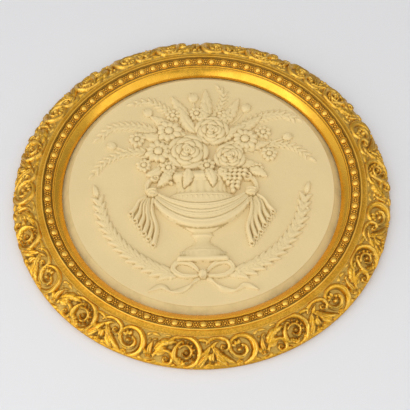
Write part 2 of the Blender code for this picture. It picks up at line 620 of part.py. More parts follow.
def close_round(obj, chains):
    """Carries each open rim through its chain of (radius, depth) points, then fills the flat back.

    A first point with no depth leaves the rim as it is.
    """
    bm = bmesh.new()
    bm.from_mesh(obj.data)
    for chain in chains:
        start = chain[0][0] * MM
        edges = [e for e in bm.edges if e.is_boundary and abs(e.verts[0].co.xy.length - start) < 3.0 * MM]
        for k, (radius, depth) in enumerate(chain):
            if k:
                grown = bmesh.ops.extrude_edge_only(bm, edges=edges)["geom"]
                edges = [e for e in grown if isinstance(e, bmesh.types.BMEdge) and e.is_boundary]
            for v in {v for e in edges for v in e.verts}:
                if depth is None:
                    continue
                flat = v.co.xy.normalized() * radius * MM
                v.co = (flat.x, flat.y, depth * MM)
    rim = [e for e in bm.edges if e.is_boundary]
    bmesh.ops.triangle_fill(bm, edges=rim, use_beauty=True, use_dissolve=False, normal=(0.0, 0.0, -1.0))
    bmesh.ops.triangulate(bm, faces=bm.faces[:])
    bmesh.ops.recalc_face_normals(bm, faces=bm.faces[:])
    bm.to_mesh(obj.data)
    bm.free()


def scroll_base(u):
    """Radius and depth of the slope under the scrolls, from its inner edge at 0 to its outer at 1."""
    radius = SCROLL_RADIUS + (EDGE_RADIUS - SCROLL_RADIUS) * u
    depth = SCROLL_DEPTH + (EDGE_DEPTH - SCROLL_DEPTH) * u + 4.0 * SCROLL_BULGE * u * (1.0 - u)
    return radius, depth


def frame_profile():
    """The frame's face, from the sight edge out to the outer edge."""
    points = []
    for i in range(7):
        u = i / 6
        points.append((SIGHT_RADIUS + (SLOPE_RADIUS - SIGHT_RADIUS) * u,
                       LIP_TOP + (SLOPE_TOP - LIP_TOP) * u + 4.0 * SLOPE_BULGE * u * (1.0 - u)))
    points += [(SLOPE_RADIUS + 0.3, SLOPE_TOP - 0.1), (FILLET_RADIUS - 0.8, FILLET_TOP - 0.4)]
    points += [(FILLET_RADIUS, FILLET_TOP), (FILLET_RADIUS + 0.8, FILLET_TOP - 0.5)]
    points.append((CHANNEL_RADIUS[0] - 0.4, CHANNEL_DEPTH[0] - 0.7))
    for i in range(9):
        u = i / 8
        points.append((CHANNEL_RADIUS[0] + (CHANNEL_RADIUS[1] - CHANNEL_RADIUS[0]) * u,
                       CHANNEL_DEPTH[0] + (CHANNEL_DEPTH[1] - CHANNEL_DEPTH[0]) * u))
    points += [(162.8, RIDGE_TOP - 0.4), (RIDGE_RADIUS, RIDGE_TOP), (164.2, RIDGE_TOP - 0.3)]
    points += [(BAND_RADIUS, BAND_DEPTH), (167.0, 18.3)]
    points += [scroll_base(i / 17) for i in range(18)]
    return points


def make_frame(group, cutters):
    """The frame: a turned ring with beads and scrolls raised on it."""
    steps = SCROLL_REPEATS * 68
    frame = turned("gilt_frame", frame_profile(), steps, group)
    p = places(frame)
    radius = np.hypot(p[:, 0], p[:, 1])
    angle = np.arctan2(p[:, 1], p[:, 0])

    # Beads, square to the tilted floor of their channel.
    rise = (CHANNEL_DEPTH[1] - CHANNEL_DEPTH[0]) / (CHANNEL_RADIUS[1] - CHANNEL_RADIUS[0])
    pitch = 2 * pi / BEADS
    away = (angle - BEAD_START + pitch / 2) % pitch - pitch / 2
    ball = np.hypot(away * BEAD_RING, radius - BEAD_RING) / BEAD_RADIUS
    link = np.hypot((pitch / 2 - abs(away)) * BEAD_RING / 1.7, (radius - BEAD_RING) / 2.6)
    lift = BEAD_HEIGHT * np.sqrt(np.maximum(1.0 - ball**2, 0.0))
    lift += 1.1 * np.sqrt(np.maximum(1.0 - link**2, 0.0))
    lift[(radius < CHANNEL_RADIUS[0] - 0.1) | (radius > CHANNEL_RADIUS[1] + 0.1)] = 0.0
    p[:, 2] += lift
    p[:, 0] -= lift * rise * np.cos(angle)
    p[:, 1] -= lift * rise * np.sin(angle)

    # Scrolls, square to the slope, their drawing stretched to fit it.
    fit = hypot(EDGE_RADIUS - SCROLL_RADIUS, SCROLL_DEPTH - EDGE_DEPTH) / SCROLL_SHEET[1]
    u = (radius - SCROLL_RADIUS) / (EDGE_RADIUS - SCROLL_RADIUS)
    on = np.nonzero(u > -0.001)[0]
    u = np.clip(u[on], 0.0, 1.0)
    turn = (np.degrees(angle[on]) - SCROLL_START) % (360.0 / SCROLL_REPEATS)
    s = turn * SCROLL_SHEET[0] * SCROLL_REPEATS / 360.0
    s = np.where(s > SCROLL_SHEET[0] / 2, s - SCROLL_SHEET[0], s)
    lift = fit * scroll_repeat(s, SCROLL_SHEET[1] * (1.0 - u))
    lift = lift * eased(0.0, 0.05, u) * (0.72 + 0.28 * eased(0.0, 0.35, u))
    slope = EDGE_DEPTH - SCROLL_DEPTH + 4.0 * SCROLL_BULGE * (1.0 - 2.0 * u)
    slope /= EDGE_RADIUS - SCROLL_RADIUS
    square = 1.0 / np.sqrt(1.0 + slope**2)
    p[on, 2] += lift * square
    p[on, 0] -= lift * slope * square * np.cos(angle[on])
    p[on, 1] -= lift * slope * square * np.sin(angle[on])
    put(frame, p)
    thin_out(frame, FRAME_FACES, 1)
    lip = [(SIGHT_RADIUS, LIP_TOP), (SIGHT_RADIUS, LIP_UNDERSIDE),
           (REBATE_RADIUS, LIP_UNDERSIDE), (REBATE_RADIUS, 0.0)]
    edge = [(EDGE_RADIUS, None), (EDGE_RADIUS, EDGE_DEPTH - 1.2), (EDGE_RADIUS - 0.6, 0.0)]
    close_round(frame, (lip, edge))
    cut_keyhole(frame, cutters)
    return frame


def cut_keyhole(frame, cutters):
    """A hole for a screw's head, and a narrower slot above it with room for the head behind."""
    low = HANG_HEIGHT - KEY_BELOW
    high = low + KEY_RISE
    for name, top, wide, start, end in (
        ("key_entry", low, KEY_HOLE / 2, -1.0, KEY_DEPTH),
        ("key_slot", high, KEY_SLOT / 2, -1.0, KEY_DEPTH - 0.2),
        ("key_head", high, KEY_HOLE / 2 - 0.2, KEY_FACE, KEY_DEPTH - 0.1),
    ):
        bm = bmesh.new()
        ring = []
        for i in range(24):
            a = 2 * pi * (i + 0.5) / 24
            y = (top if sin(a) > 0 else low) + wide * sin(a)
            ring.append(bm.verts.new((wide * cos(a) * MM, y * MM, start * MM)))
        lifted = bmesh.ops.extrude_face_region(bm, geom=[bm.faces.new(ring)])["geom"]
        ends = [v for v in lifted if isinstance(v, bmesh.types.BMVert)]
        bmesh.ops.translate(bm, verts=ends, vec=(0.0, 0.0, (end - start) * MM))
        bmesh.ops.recalc_face_normals(bm, faces=bm.faces[:])
        mesh = bpy.data.meshes.new(name)
        bm.to_mesh(mesh)
        bm.free()
        cutter = bpy.data.objects.new(name, mesh)
        cutters.objects.link(cutter)
        cutter.hide_render = True
        cutter.display_type = "WIRE"
        cut = frame.modifiers.new(name, "BOOLEAN")
        cut.operation = "DIFFERENCE"
        cut.solver = "EXACT"
        cut.object = cutter
    freeze(frame)


def make_plaque(group):
    """The plaster round: a raised field with its relief, a hollow bevel, and a flange under the lip."""
    rings = 90
    profile = [(RELIEF_RADIUS * i / rings, FIELD_DEPTH) for i in range(rings + 1)]
    profile += [(FIELD_RADIUS - 1.0, FIELD_DEPTH), (FIELD_RADIUS, FIELD_DEPTH - 0.3)]
    for i in range(1, 6):
        u = i / 5
        profile.append((FIELD_RADIUS + (BEVEL_RADIUS - FIELD_RADIUS) * u,
                        FLANGE_TOP + (FIELD_DEPTH - 0.3 - FLANGE_TOP) * (1.0 - u) ** 1.25))
    plaque = turned("relief_plaque", profile, 540, group)
    p = places(plaque)
    radius = np.hypot(p[:, 0], p[:, 1])
    on = np.nonzero(radius < RELIEF_RADIUS - 0.1)[0]
    p[on, 2] += plaque_relief(p[on, 0], p[on, 1])
    put(plaque, p)
    thin_out(plaque, PLAQUE_FACES, 3)
    chain = [(BEVEL_RADIUS, FLANGE_TOP), (FLANGE_RADIUS, FLANGE_TOP), (FLANGE_RADIUS, BACK_DEPTH)]
    close_round(plaque, (chain,))
    return plaque


def main():
    for obj in list(bpy.data.objects):
        bpy.data.objects.remove(obj, do_unlink=True)
    group = collection("plaster_relief_plaque")
    cutters = collection("cutters")
    gilt = material("gilt", (0.72, 0.43, 0.10), 0.36, 0.9)
    plaster = material("plaster", (0.80, 0.66, 0.42), 0.72, 0.0)
    for obj, mat in ((make_frame(group, cutters), gilt), (make_plaque(group), plaster)):
        obj.data.materials.clear()
        obj.data.materials.append(mat)
        obj.location = (0.0, 0.0, -HANG_HEIGHT * MM)
        obj.rotation_euler = (pi / 2, 0.0, 0.0)
        print(obj.name, sum(len(f.vertices) - 2 for f in obj.data.polygons), "triangles")
    for cutter in cutters.objects:
        cutter.location = (0.0, 0.0, -HANG_HEIGHT * MM)
        cutter.rotation_euler = (pi / 2, 0.0, 0.0)


main()
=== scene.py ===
"""Looks of the round relief plaque: moulded scrolls, bead course, turned frame and plaster relief.

The plaque hangs upright, its back in the plane y = 0 and its face along -Y. Sizes are in millimetres, and
become metres when a mesh is made. Run as a script it builds every piece; registered, it offers the same steps
in a panel.
"""

from math import cos, hypot, pi, radians, sin

import bmesh
import bpy
import numpy as np
from mathutils import Matrix, Vector


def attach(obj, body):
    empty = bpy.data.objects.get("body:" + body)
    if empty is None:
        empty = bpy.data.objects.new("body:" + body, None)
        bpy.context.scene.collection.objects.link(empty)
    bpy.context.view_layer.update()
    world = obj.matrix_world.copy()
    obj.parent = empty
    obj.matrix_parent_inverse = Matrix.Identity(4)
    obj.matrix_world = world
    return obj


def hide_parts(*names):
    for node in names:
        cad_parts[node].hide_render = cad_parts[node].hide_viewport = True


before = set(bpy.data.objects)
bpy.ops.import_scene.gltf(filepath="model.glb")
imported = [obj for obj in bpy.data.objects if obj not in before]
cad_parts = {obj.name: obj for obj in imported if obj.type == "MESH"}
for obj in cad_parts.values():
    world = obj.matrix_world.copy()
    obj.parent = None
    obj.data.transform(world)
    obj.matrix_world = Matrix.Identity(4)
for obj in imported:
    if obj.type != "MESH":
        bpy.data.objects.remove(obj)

bl_info = {
    "name": "Relief plaque",
    "version": (1, 0, 0),
    "blender": (4, 5, 0),
    "location": "View3D > Sidebar > Plaque",
    "description": "Builds a framed round relief plaque piece by piece",
    "category": "Object",
}

MM = 0.001

# Sizes shared with the solids.
HANG_HEIGHT = 186.0
SIGHT_RADIUS = 144.5
LIP_UNDERSIDE = 4.8
LIP_TOP = 8.2
SLOPE_RADIUS = 151.2
SLOPE_TOP = 15.2
SLOPE_BULGE = 0.5
FILLET_RADIUS = 152.5
FILLET_TOP = 16.8
CHANNEL_RADIUS = (154.2, 162.0)
CHANNEL_DEPTH = (16.2, 18.6)
CHANNEL_RISE = (CHANNEL_DEPTH[1] - CHANNEL_DEPTH[0]) / (CHANNEL_RADIUS[1] - CHANNEL_RADIUS[0])
RIDGE_RADIUS = 163.5
RIDGE_TOP = 21.0
BAND_RADIUS = 165.0
BAND_DEPTH = 19.2
SCROLL_RADIUS = 169.3
SCROLL_DEPTH = 17.9
EDGE_RADIUS = 195.0
EDGE_DEPTH = 3.6
SCROLL_BULGE = 1.6
REBATE_RADIUS = 150.6
BEADS = 74
BEAD_RING = 158.0
BEAD_START = -0.2154
SCROLL_REPEATS = 11
SCROLL_START = -112.4
SCROLL_SHEET = (104, 30)
RELIEF_SHEET = 134
KEY_HOLE = 10.0
KEY_SLOT = 5.0
KEY_RISE = 11.0
KEY_FACE = 2.2
KEY_DEPTH = 8.5
KEY_BELOW = 17.0
FIELD_RADIUS = 137.2
FIELD_DEPTH = 11.6
RELIEF_RADIUS = 134.0
BACK_DEPTH = 0.8
FLANGE_TOP = LIP_UNDERSIDE - 0.3
FLANGE_RADIUS = REBATE_RADIUS - 0.9

# Sizes of the finer shapes here.
BEVEL_RADIUS = SIGHT_RADIUS - 0.3
LEDGE_RADIUS = SIGHT_RADIUS + 2.5
OUTER_LIMIT = EDGE_RADIUS + 0.5
SCROLL_SKIN = 0.9
RELIEF_CELL = 0.5
FRAME_STEPS = 360
MOST_TRIANGLES = 190000

# Place of the wood in the frame's list of materials, after the burnished, channel and frosted gold.
BARE = 3

# Stage, in metres. Lights are placed from the plaque's centre, and the one at the left is the strongest.
WALL_RINGS = (0.190, 0.26, 0.6, 3.5)
WALL_GAP = 0.0006
FLOOR_CORNERS = ((-3.5, -4.0, -2.2), (3.5, -4.0, -2.2), (3.5, 3.0, -2.2), (-3.5, 3.0, -2.2))
LIGHTS = (
    # Name, place, side and power in watts.
    ("left_window", (-0.85, -0.62, -0.86), 1.5, 9.2),
    ("right_window", (0.88, -0.6, -0.8), 1.4, 4.4),
    ("front", (0.0, -1.5, 0.5), 1.8, 2.8),
)
GLOW_FROM = (-0.3, -0.5, -0.8)

# Camera, in metres from the origin, so that the view is the photo's.
CAMERA_EYE = (0.0, -0.6875, -0.6044)
CAMERA_AIM = (0.0031, -0.0200, -0.2171)
CAMERA_ROLL = -0.0106
CAMERA_LENS = 67.39


# Carving over a flat layout: every form is laid on the ones under it.


def eased(low, high, x):
    """0 below low, 1 above high, and smooth between them."""
    u = np.clip((x - low) / (high - low), 0.0, 1.0)
    return u * u * (3.0 - 2.0 * u)


def curve(points, per=8):
    """A smooth curve through a few points."""
    p = np.array(points, float)
    q = np.vstack([2 * p[0] - p[1], p, 2 * p[-1] - p[-2]])
    u = np.linspace(0.0, 1.0, per, endpoint=False)[:, None]
    out = []
    for i in range(len(p) - 1):
        a, b, c, d = q[i : i + 4]
        square = (2 * a - 5 * b + 4 * c - d) * u**2
        cube = (3 * b - a - 3 * c + d) * u**3
        out.append(0.5 * (2 * b + (c - a) * u + square + cube))
    out.append(p[-1:])
    return np.vstack(out)


def whorl(cx, cz, start, end, radii, count=36):
    """A curl round a centre, from one angle to another in degrees, through evenly spaced radii."""
    u = np.linspace(0.0, 1.0, count)
    r = np.interp(u, np.linspace(0.0, 1.0, len(radii)), radii)
    a = np.radians(start + (end - start) * u)
    return np.stack([cx + r * np.cos(a), cz + r * np.sin(a)], 1)


def polar(cx, cz, radius, angle):
    """The place at a radius from a centre, at an angle in degrees."""
    return cx + radius * cos(radians(angle)), cz + radius * sin(radians(angle))


def bow(x0, z0, x1, z1, bend=0.0):
    """A curve between two points whose middle stands off to the left by bend."""
    long = max(np.hypot(x1 - x0, z1 - z0), 1e-6)
    mid = ((x0 + x1) / 2 - bend * (z1 - z0) / long, (z0 + z1) / 2 + bend * (x1 - x0) / long)
    return curve([(x0, z0), mid, (x1, z1)], 6)


def spread(values, share):
    """Values given at even steps along a form, read at each share of its length."""
    values = np.atleast_1d(values)
    return np.interp(share, np.linspace(0.0, 1.0, len(values)), values)


class Carving:
    """Heights at flat places x, z."""

    def __init__(self, x, z):
        self.x = np.asarray(x, float).ravel()
        self.z = np.asarray(z, float).ravel()
        self.h = np.zeros_like(self.x)

    def around(self, low, high):
        """The places inside a rectangle."""
        inside = (self.x > low[0]) & (self.x < high[0]) & (self.z > low[1]) & (self.z < high[1])
        return np.nonzero(inside)[0]

    def along(self, path, reach):
        """The places near a path, with their distance, their side and their share of its length."""
        near = self.around(path.min(0) - reach, path.max(0) + reach)
        step = path[1:] - path[:-1]
        length = np.maximum(np.hypot(step[:, 0], step[:, 1]), 1e-9)
        start = np.concatenate([[0.0], np.cumsum(length)])
        best = np.full(len(near), 1e9)
        side = np.zeros(len(near))
        share = np.zeros(len(near))
        for i in range(len(step)):
            ux, uz = step[i] / length[i]
            dx = self.x[near] - path[i, 0]
            dz = self.z[near] - path[i, 1]
            t = np.clip(dx * ux + dz * uz, 0.0, length[i])
            gap = (dx - t * ux) ** 2 + (dz - t * uz) ** 2
            closer = gap < best
            best[closer] = gap[closer]
            side[closer] = np.sign(ux * dz - uz * dx)[closer]
            share[closer] = (start[i] + t)[closer] / start[-1]
        return near, np.sqrt(best), side, share

    def lay(self, near, height, inside, beyond, moat):
        """Lays a form over the rest where it is inside, in a small moat that sets it off."""
        ring = np.exp(-(np.maximum(beyond, 0.0) ** 2)) * (~inside)
        self.h[near] -= moat * ring * np.clip(self.h[near] / 1.5, 0.0, 1.0)
        here = near[inside]
        self.h[here] = np.maximum(self.h[here], height[inside])

    def bar(self, path, widths, top, base=0.0, groove=0.0, moat=0.4, power=0.5, fold=0.0, lines=0.0):
        """A rounded bar along a path, with its half-widths and heights from end to end."""
        near, gap, side, share = self.along(path, np.max(widths) + 3.0)
        wide = spread(widths, share)
        v = gap / wide
        arch = np.maximum(1.0 - v * v, 0.0) ** power
        dip = 1.0 - groove * np.exp(-((v / 0.3) ** 2))
        if lines:
            dip -= 0.07 * (0.5 - 0.5 * np.cos(2 * pi * lines * (side * v + 1.0)))
        height = spread(base, share) + spread(top, share) * arch * dip * (1.0 + fold * side * v)
        self.lay(near, height, v < 1.0, gap - wide, moat)

    def leaf(self, path, width, top, base=0.0, lobes=0, veins=0.0, moat=0.5, shape=0.75, rib=0.3):
        """A leaf along a path, with a sunk midrib, lobed edges and raised veins."""
        near, gap, _, share = self.along(path, width * 1.3 + 3.0)
        wide = width * np.sin(pi * share**shape) ** 0.7 + 0.12
        wide = wide * (1.0 - 0.16 * (0.5 - 0.5 * np.cos(2 * pi * lobes * share)) ** 2)
        v = gap / wide
        body = np.maximum(1.0 - v**2.2, 0.0) ** 0.6
        height = top * body * (0.55 + 0.45 * np.sin(pi * (share * 0.9 + 0.08)))
        height -= rib * top * np.exp(-((gap / (0.16 * width + 0.15)) ** 2)) * (1.0 - share)
        if veins:
            wave = np.cos(2 * pi * veins * (share - 0.25 * v))
            height += 0.07 * top * wave * np.minimum(v * 2.0, 1.0) * body
        self.lay(near, height + spread(base, share), v < 1.0, gap - wide, moat)

    def oval(self, cx, cz, rx, rz, angle, margin):
        """The places near an oval, with how far along and across it they lie as shares of its radii."""
        reach = max(rx, rz) + margin
        near = self.around((cx - reach, cz - reach), (cx + reach, cz + reach))
        dx, dz = self.x[near] - cx, self.z[near] - cz
        ca, sa = polar(0, 0, 1, angle)
        return near, (dx * ca + dz * sa) / rx, (dz * ca - dx * sa) / rz

    def dome(self, cx, cz, rx, rz, top, base=0.0, angle=0.0, moat=0.4):
        """An oval boss."""
        near, along, across = self.oval(cx, cz, rx, rz, angle, 3.0)
        v = np.hypot(along, across)
        height = base + top * np.maximum(1.0 - v * v, 0.0) ** 0.5
        self.lay(near, height, v < 1.0, (v - 1.0) * min(rx, rz), moat)

    def petal(self, cx, cz, rx, rz, angle, top, base):
        """A rolled petal that rises towards its outer edge."""
        near, out, across = self.oval(cx, cz, rx, rz, angle, 2.0)
        v = np.hypot(out, across)
        body = np.maximum(1.0 - v**4, 0.0) ** 0.5
        height = base + top * body * (0.55 + 0.45 * out)
        self.lay(near, height, v < 1.0, (v - 1.0) * min(rx, rz), 0.7)


# Scroll ornament of the frame: one repeat holds an open whorl, a closed whorl and what links them.


# Foot, tip and half-width of each small leaf along the edges of the band.
EDGE_TIPS = (
    (8.0, 3.4, 17.0, 0.8, 1.9), (28.0, 3.0, 20.0, 0.7, 1.8), (40.0, 2.2, 47.0, 0.6, 1.7),
    (63.0, 4.0, 55.0, 0.6, 2.0), (-24.0, 2.8, -33.0, 0.7, 2.0), (-22.0, 3.4, -13.0, 0.7, 1.9),
    (20.0, 27.4, 29.0, 25.6, 1.7), (33.0, 28.4, 40.0, 27.0, 1.6), (-33.0, 27.4, -41.0, 26.2, 1.7),
    (69.0, 24.0, 77.0, 27.6, 1.9), (15.5, 24.4, 21.0, 27.8, 1.6),
)


def open_whorl(c):
    """A cupped arm from the outer edge over the top that curls in to a bud, and a rosette under it."""
    radii = (13.4, 13.9, 13.8, 13.5, 12.6, 11.0, 9.0, 7.5, 6.9, 6.8, 6.4, 5.4, 3.9)
    widths = (1.4, 2.9, 3.5, 3.3, 2.9, 2.4, 2.1, 2.2, 2.5, 2.3, 1.6)
    tops = (2.4, 4.2, 4.9, 4.9, 4.5, 4.0, 4.0, 4.4, 4.6, 4.2, 3.0)
    arm = whorl(0, 14.8, -78, 414, radii, 64)
    c.bar(arm, widths, tops, fold=-0.34, lines=1.5, groove=0.1, moat=0.8)
    for angle in (150, 122, 96):
        c.leaf(bow(*polar(0, 14.8, 9.4, angle), *polar(0, 14.8, 3.4, angle), 0.8), 1.9, 3.6)
    c.dome(-0.4, 14.2, 2.9, 2.6, 4.6, moat=0.9)
    c.dome(3.0, 16.6, 1.7, 1.5, 3.6, moat=0.8)
    for i in range(5):
        a = radians(72 * i + 90)
        c.dome(1.9 * cos(a) - 2.0, 2.7 + 1.6 * sin(a), 1.5, 1.3, 2.6, moat=0.7)
    c.dome(-2.0, 2.7, 1.1, 1.0, 3.2, moat=0.7)


def husk_and_low_whorl(c):
    """An upright husk, and a small low whorl with its stem leaf."""
    c.leaf(bow(19.0, 5.4, 16.2, 13.4, 0.6), 1.9, 3.0)
    c.leaf(bow(21.6, 5.6, 22.4, 21.0, 1.3), 2.7, 4.3, rib=0.5, moat=0.8)
    c.leaf(bow(23.4, 6.0, 27.0, 13.0, -0.6), 1.6, 2.8)
    c.dome(24.2, 22.2, 2.7, 1.4, 3.2, angle=20, moat=0.7)
    c.dome(19.4, 21.4, 1.5, 1.2, 2.6, angle=-30, moat=0.6)
    c.dome(21.0, 4.6, 2.8, 1.6, 3.0, moat=0.7)
    curl = whorl(37.5, 6.3, 184, -230, (12.4, 8.2, 6.1, 4.6, 4.1, 3.6, 2.8, 1.8))
    widths = (1.0, 2.4, 2.8, 2.5, 2.2, 1.8, 1.3)
    c.bar(curl, widths, (1.8, 3.4, 4.2, 4.0, 3.8, 3.0), fold=0.3, lines=1.5, moat=0.8)
    c.dome(37.5, 6.3, 1.7, 1.5, 3.8, moat=0.8)
    c.leaf(bow(26.4, 9.4, 34.6, 10.4, -0.8), 1.6, 3.0)


def closed_whorl(c):
    """A whorl of three cupped arms round a lobed eye, on a leafy stem."""
    x, z = 54.6, 14.4
    c.leaf(bow(25.2, 12.4, 45.8, 23.4, 3.4), 4.9, 4.4, lobes=4, veins=7, moat=0.8)
    arms = (
        ((154, -88, (19.4, 15.2, 13.6, 12.2, 11.8, 12.2, 13.4)), (1.4, 2.4, 3.1, 3.2, 3.0, 1.8),
         (2.8, 4.2, 5.0, 5.0, 4.4, 2.6), 0.34, 1.5),
        ((112, 262, (10.6, 10.0, 11.0, 11.9, 11.8)), (1.6, 2.7, 3.0, 2.7, 1.5),
         (3.0, 4.2, 4.6, 4.2, 2.8), -0.3, 1.5),
        ((152, -150, (7.2, 6.0, 4.9, 4.4, 4.8, 3.6)), (1.4, 2.0, 2.2, 1.9, 1.3),
         (3.4, 4.2, 4.4, 4.0), 0.2, 0.0),
    )
    for turn, widths, tops, fold, lines in arms:
        c.bar(whorl(x, z, *turn), widths, tops, fold=fold, lines=lines, moat=0.8)
    c.dome(x, z, 2.3, 2.1, 5.0, moat=0.9)
    lobes = ((112, 9.6), (84, 9.4), (52, 8.2), (18, 7.6), (-18, 7.4), (-52, 8.2), (-84, 8.6))
    for angle, radius in lobes:
        c.dome(*polar(x, z, radius, angle), 1.9, 1.35, 3.9, angle=angle - 90, moat=0.8)
    for i in range(3):
        foot = x - 8.6 + 2.2 * i
        c.leaf(bow(foot, 8.4 - 1.9 * i, foot + 4.6, 8.8 - 1.5 * i, -0.7), 1.5, 3.6, moat=0.7)


def leaning_leaves(c):
    """Pairs of striated leaves that lean together, with a curled arm above and a bud between them."""
    striped = {"veins": 9, "rib": 0.5, "shape": 0.9, "moat": 0.8}
    c.leaf(bow(61.2, 1.0, 77.4, 20.8, -0.8), 3.8, 4.2, **striped)
    c.leaf(bow(66.4, 0.9, 77.0, 13.6, 0.7), 2.4, 3.4, veins=6, moat=0.7)
    c.leaf(bow(-25.8, 20.6, -5.2, 2.4, -2.8), 4.0, 4.3, **striped)
    c.leaf(bow(-22.4, 11.4, -11.8, 1.0, -1.8), 2.3, 3.4, veins=6, moat=0.7)
    arm = whorl(-14.2, 19.2, 173, -209, (17.4, 7.4, 4.3, 3.9, 3.4, 2.0))
    widths = (1.0, 2.2, 2.6, 2.3, 2.0, 1.4)
    c.bar(arm, widths, (2.2, 3.8, 4.5, 4.2, 3.4), fold=0.3, lines=1.5, moat=0.8)
    c.dome(-14.2, 19.2, 1.7, 1.5, 3.9, moat=0.8)
    c.leaf(bow(-39.2, 26.4, -27.0, 22.4, 1.6), 2.0, 3.0)
    c.leaf(bow(-27.0, 18.4, -18.4, 24.4, 1.0), 1.9, 3.2)
    c.leaf(bow(-26.0, 4.6, -24.8, 14.4, 1.2), 3.2, 3.8, rib=0.5, moat=0.7)
    for way in (-1, 1):
        c.leaf(bow(-26.0 + way * 0.4, 1.9, -26.0 + way * 6.6, 2.5, way * 1.4), 1.8, 3.0)
    c.dome(-26.0, 3.0, 1.7, 1.5, 3.4, moat=0.7)


def scroll_repeat(s, t):
    """Heights of the scrolls on their sheet. s runs along the band, t from its outer edge inwards."""
    c = Carving(s, t)
    along = c.x
    for shift in (-SCROLL_SHEET[0], 0, SCROLL_SHEET[0]):
        c.x = along - shift
        for x, z, ex, ez, wide in EDGE_TIPS:
            c.leaf(bow(x, z, ex, ez, 0.7), wide, 2.3, shape=0.6)
        open_whorl(c)
        husk_and_low_whorl(c)
        closed_whorl(c)
        leaning_leaves(c)
    return c.h.reshape(np.shape(s))


# Relief on the plaque: an urn of flowers hung with cloth, over tied laurel.


# Level and half-width, then level, reach and height of the rolls turned on it.
URN_OUTLINE = (
    (12, 33), (9, 35.5), (5, 35.5), (3, 31), (0, 28), (-6, 26), (-12, 26.5), (-17, 34), (-24, 38), (-30, 39),
    (-37, 37), (-44, 31), (-51, 22), (-56, 14), (-59, 9.5), (-62, 11.5), (-65.5, 8), (-69, 7.5), (-73, 11),
    (-76, 17), (-80, 20.5), (-80.5, 24), (-88, 24),
)
URN_ROLLS = ((7.0, 2.1, 0.8), (-15.6, 0.9, 0.6), (-34.8, 0.8, 0.5), (-62.8, 1.1, 0.6), (-79.2, 0.9, 0.5))
# Petals, share of the radius and rise of each ring of a rose.
ROSE_RINGS = ((5, 1.0, 0.0), (5, 0.78, 0.2), (4, 0.56, 0.38), (3, 0.36, 0.52))
# Points of each fern's stalk, pairs of leaves and length of a leaf.
FERNS = (
    ([(20, 50), (58, 78), (84, 86), (104, 80)], 13, 17),
    ([(-20, 50), (-62, 70), (-92, 72), (-108, 60)], 13, 17),
    ([(8, 70), (22, 98), (26, 114), (22, 122)], 8, 13),
    ([(-14, 72), (-40, 96), (-56, 106), (-72, 104)], 9, 14),
    ([(30, 34), (70, 46), (96, 44), (114, 30)], 12, 15),
    ([(-30, 34), (-72, 40), (-98, 30), (-112, 14)], 12, 15),
)
# Angle, start and length of each broad leaf.
BACK_LEAVES = (
    (-30, 26, 28), (-12, 30, 36), (14, 36, 36), (41, 40, 38), (66, 42, 38), (94, 44, 38), (122, 42, 38),
    (148, 38, 36), (170, 36, 36), (194, 30, 36), (212, 28, 28),
)
FRONT_LEAVES = (
    (2, 26, 26), (28, 30, 26), (54, 34, 28), (81, 34, 28), (108, 34, 28), (136, 32, 27), (181, 26, 26),
)
# Place, angle, length and height of each leaf over the rim.
RIM_LEAVES = (
    (-40, 18, 205, 20, 2.2), (-32, 16, -122, 26, 4.8), (-14, 14, -100, 22, 6.2), (6, 14, -74, 22, 6.2),
    (50, 14, -25, 20, 2.0), (18, 14, -60, 16, 5.6),
)
# Place, length and angle of each bud.
BUDS = ((-7, 104, 13, 96), (47, 90, 12, 58), (-54, 86, 12, 124), (88, 54, 11, 22), (-90, 46, 11, 160))
# Place, radius and petals of each open flower.
SMALL_DAISIES = (
    (-4, 88, 9.5, 9), (26, 84, 9, 8), (72, 34, 9.5, 9), (-68, 55, 10, 9), (67, 62, 9.5, 8), (-30, 86, 9, 8),
    (-60, 22, 9, 9), (58, 16, 8, 8),
)
LARGE_DAISIES = (
    (-45, 38, 15, 11), (-34, 64, 14.5, 10), (47, 52, 14.5, 11), (6, 19, 10, 9), (-34, 17, 9.5, 9),
)


def rose(c, cx, cz, r, top, base, turn):
    """A full rose: rings of rolled petals round a tight bud."""
    for ring, (petals, share, rise) in enumerate(ROSE_RINGS):
        for i in range(petals):
            angle = 360.0 * i / petals + turn + 37.0 * ring
            x, z = polar(cx, cz, r * share * 0.52, angle)
            c.petal(x, z, r * share * 0.5, r * share * 0.56, angle, top * 0.62, base + top * rise)
    heart = whorl(cx, cz, turn, turn + 560, (r * 0.2, r * 0.04), 30)
    c.bar(heart, r * 0.06, top * 0.36, base + top * 0.66, moat=0.3)


def daisy(c, cx, cz, r, petals, top, base, turn):
    """An open flower: petals round a raised eye."""
    for i in range(petals):
        angle = 360.0 * i / petals + turn
        path = bow(*polar(cx, cz, 0.18 * r, angle), *polar(cx, cz, r * (1.0 - 0.08 * (i % 3)), angle))
        c.leaf(path, r * min(0.26, 2.5 / petals), top * 0.8, base, shape=1.5, rib=0.35)
    c.dome(cx, cz, r * 0.3, r * 0.3, top * 0.55, base + top * 0.5, moat=0.5)


def bud(c, cx, cz, length, angle, top, base):
    """A closed bud on its stalk."""
    ca, sa = polar(0, 0, 1, angle)

    def at(u, v):
        return (cx + length * (u * ca - v * sa), cz + length * (u * sa + v * ca))

    c.bar(curve([at(-1.9, 0.25), at(-1.0, 0.05), at(0.0, 0.0)]), (0.7, 0.9), (1.0, 1.8), base)
    for v, width in ((-0.2, 0.2), (0.2, 0.2), (0.0, 0.24)):
        path = curve([at(0.0, 0.0), at(0.45, v * 1.2), at(1.0, v * 0.8)])
        c.leaf(path, length * width, top, base, rib=0.2)


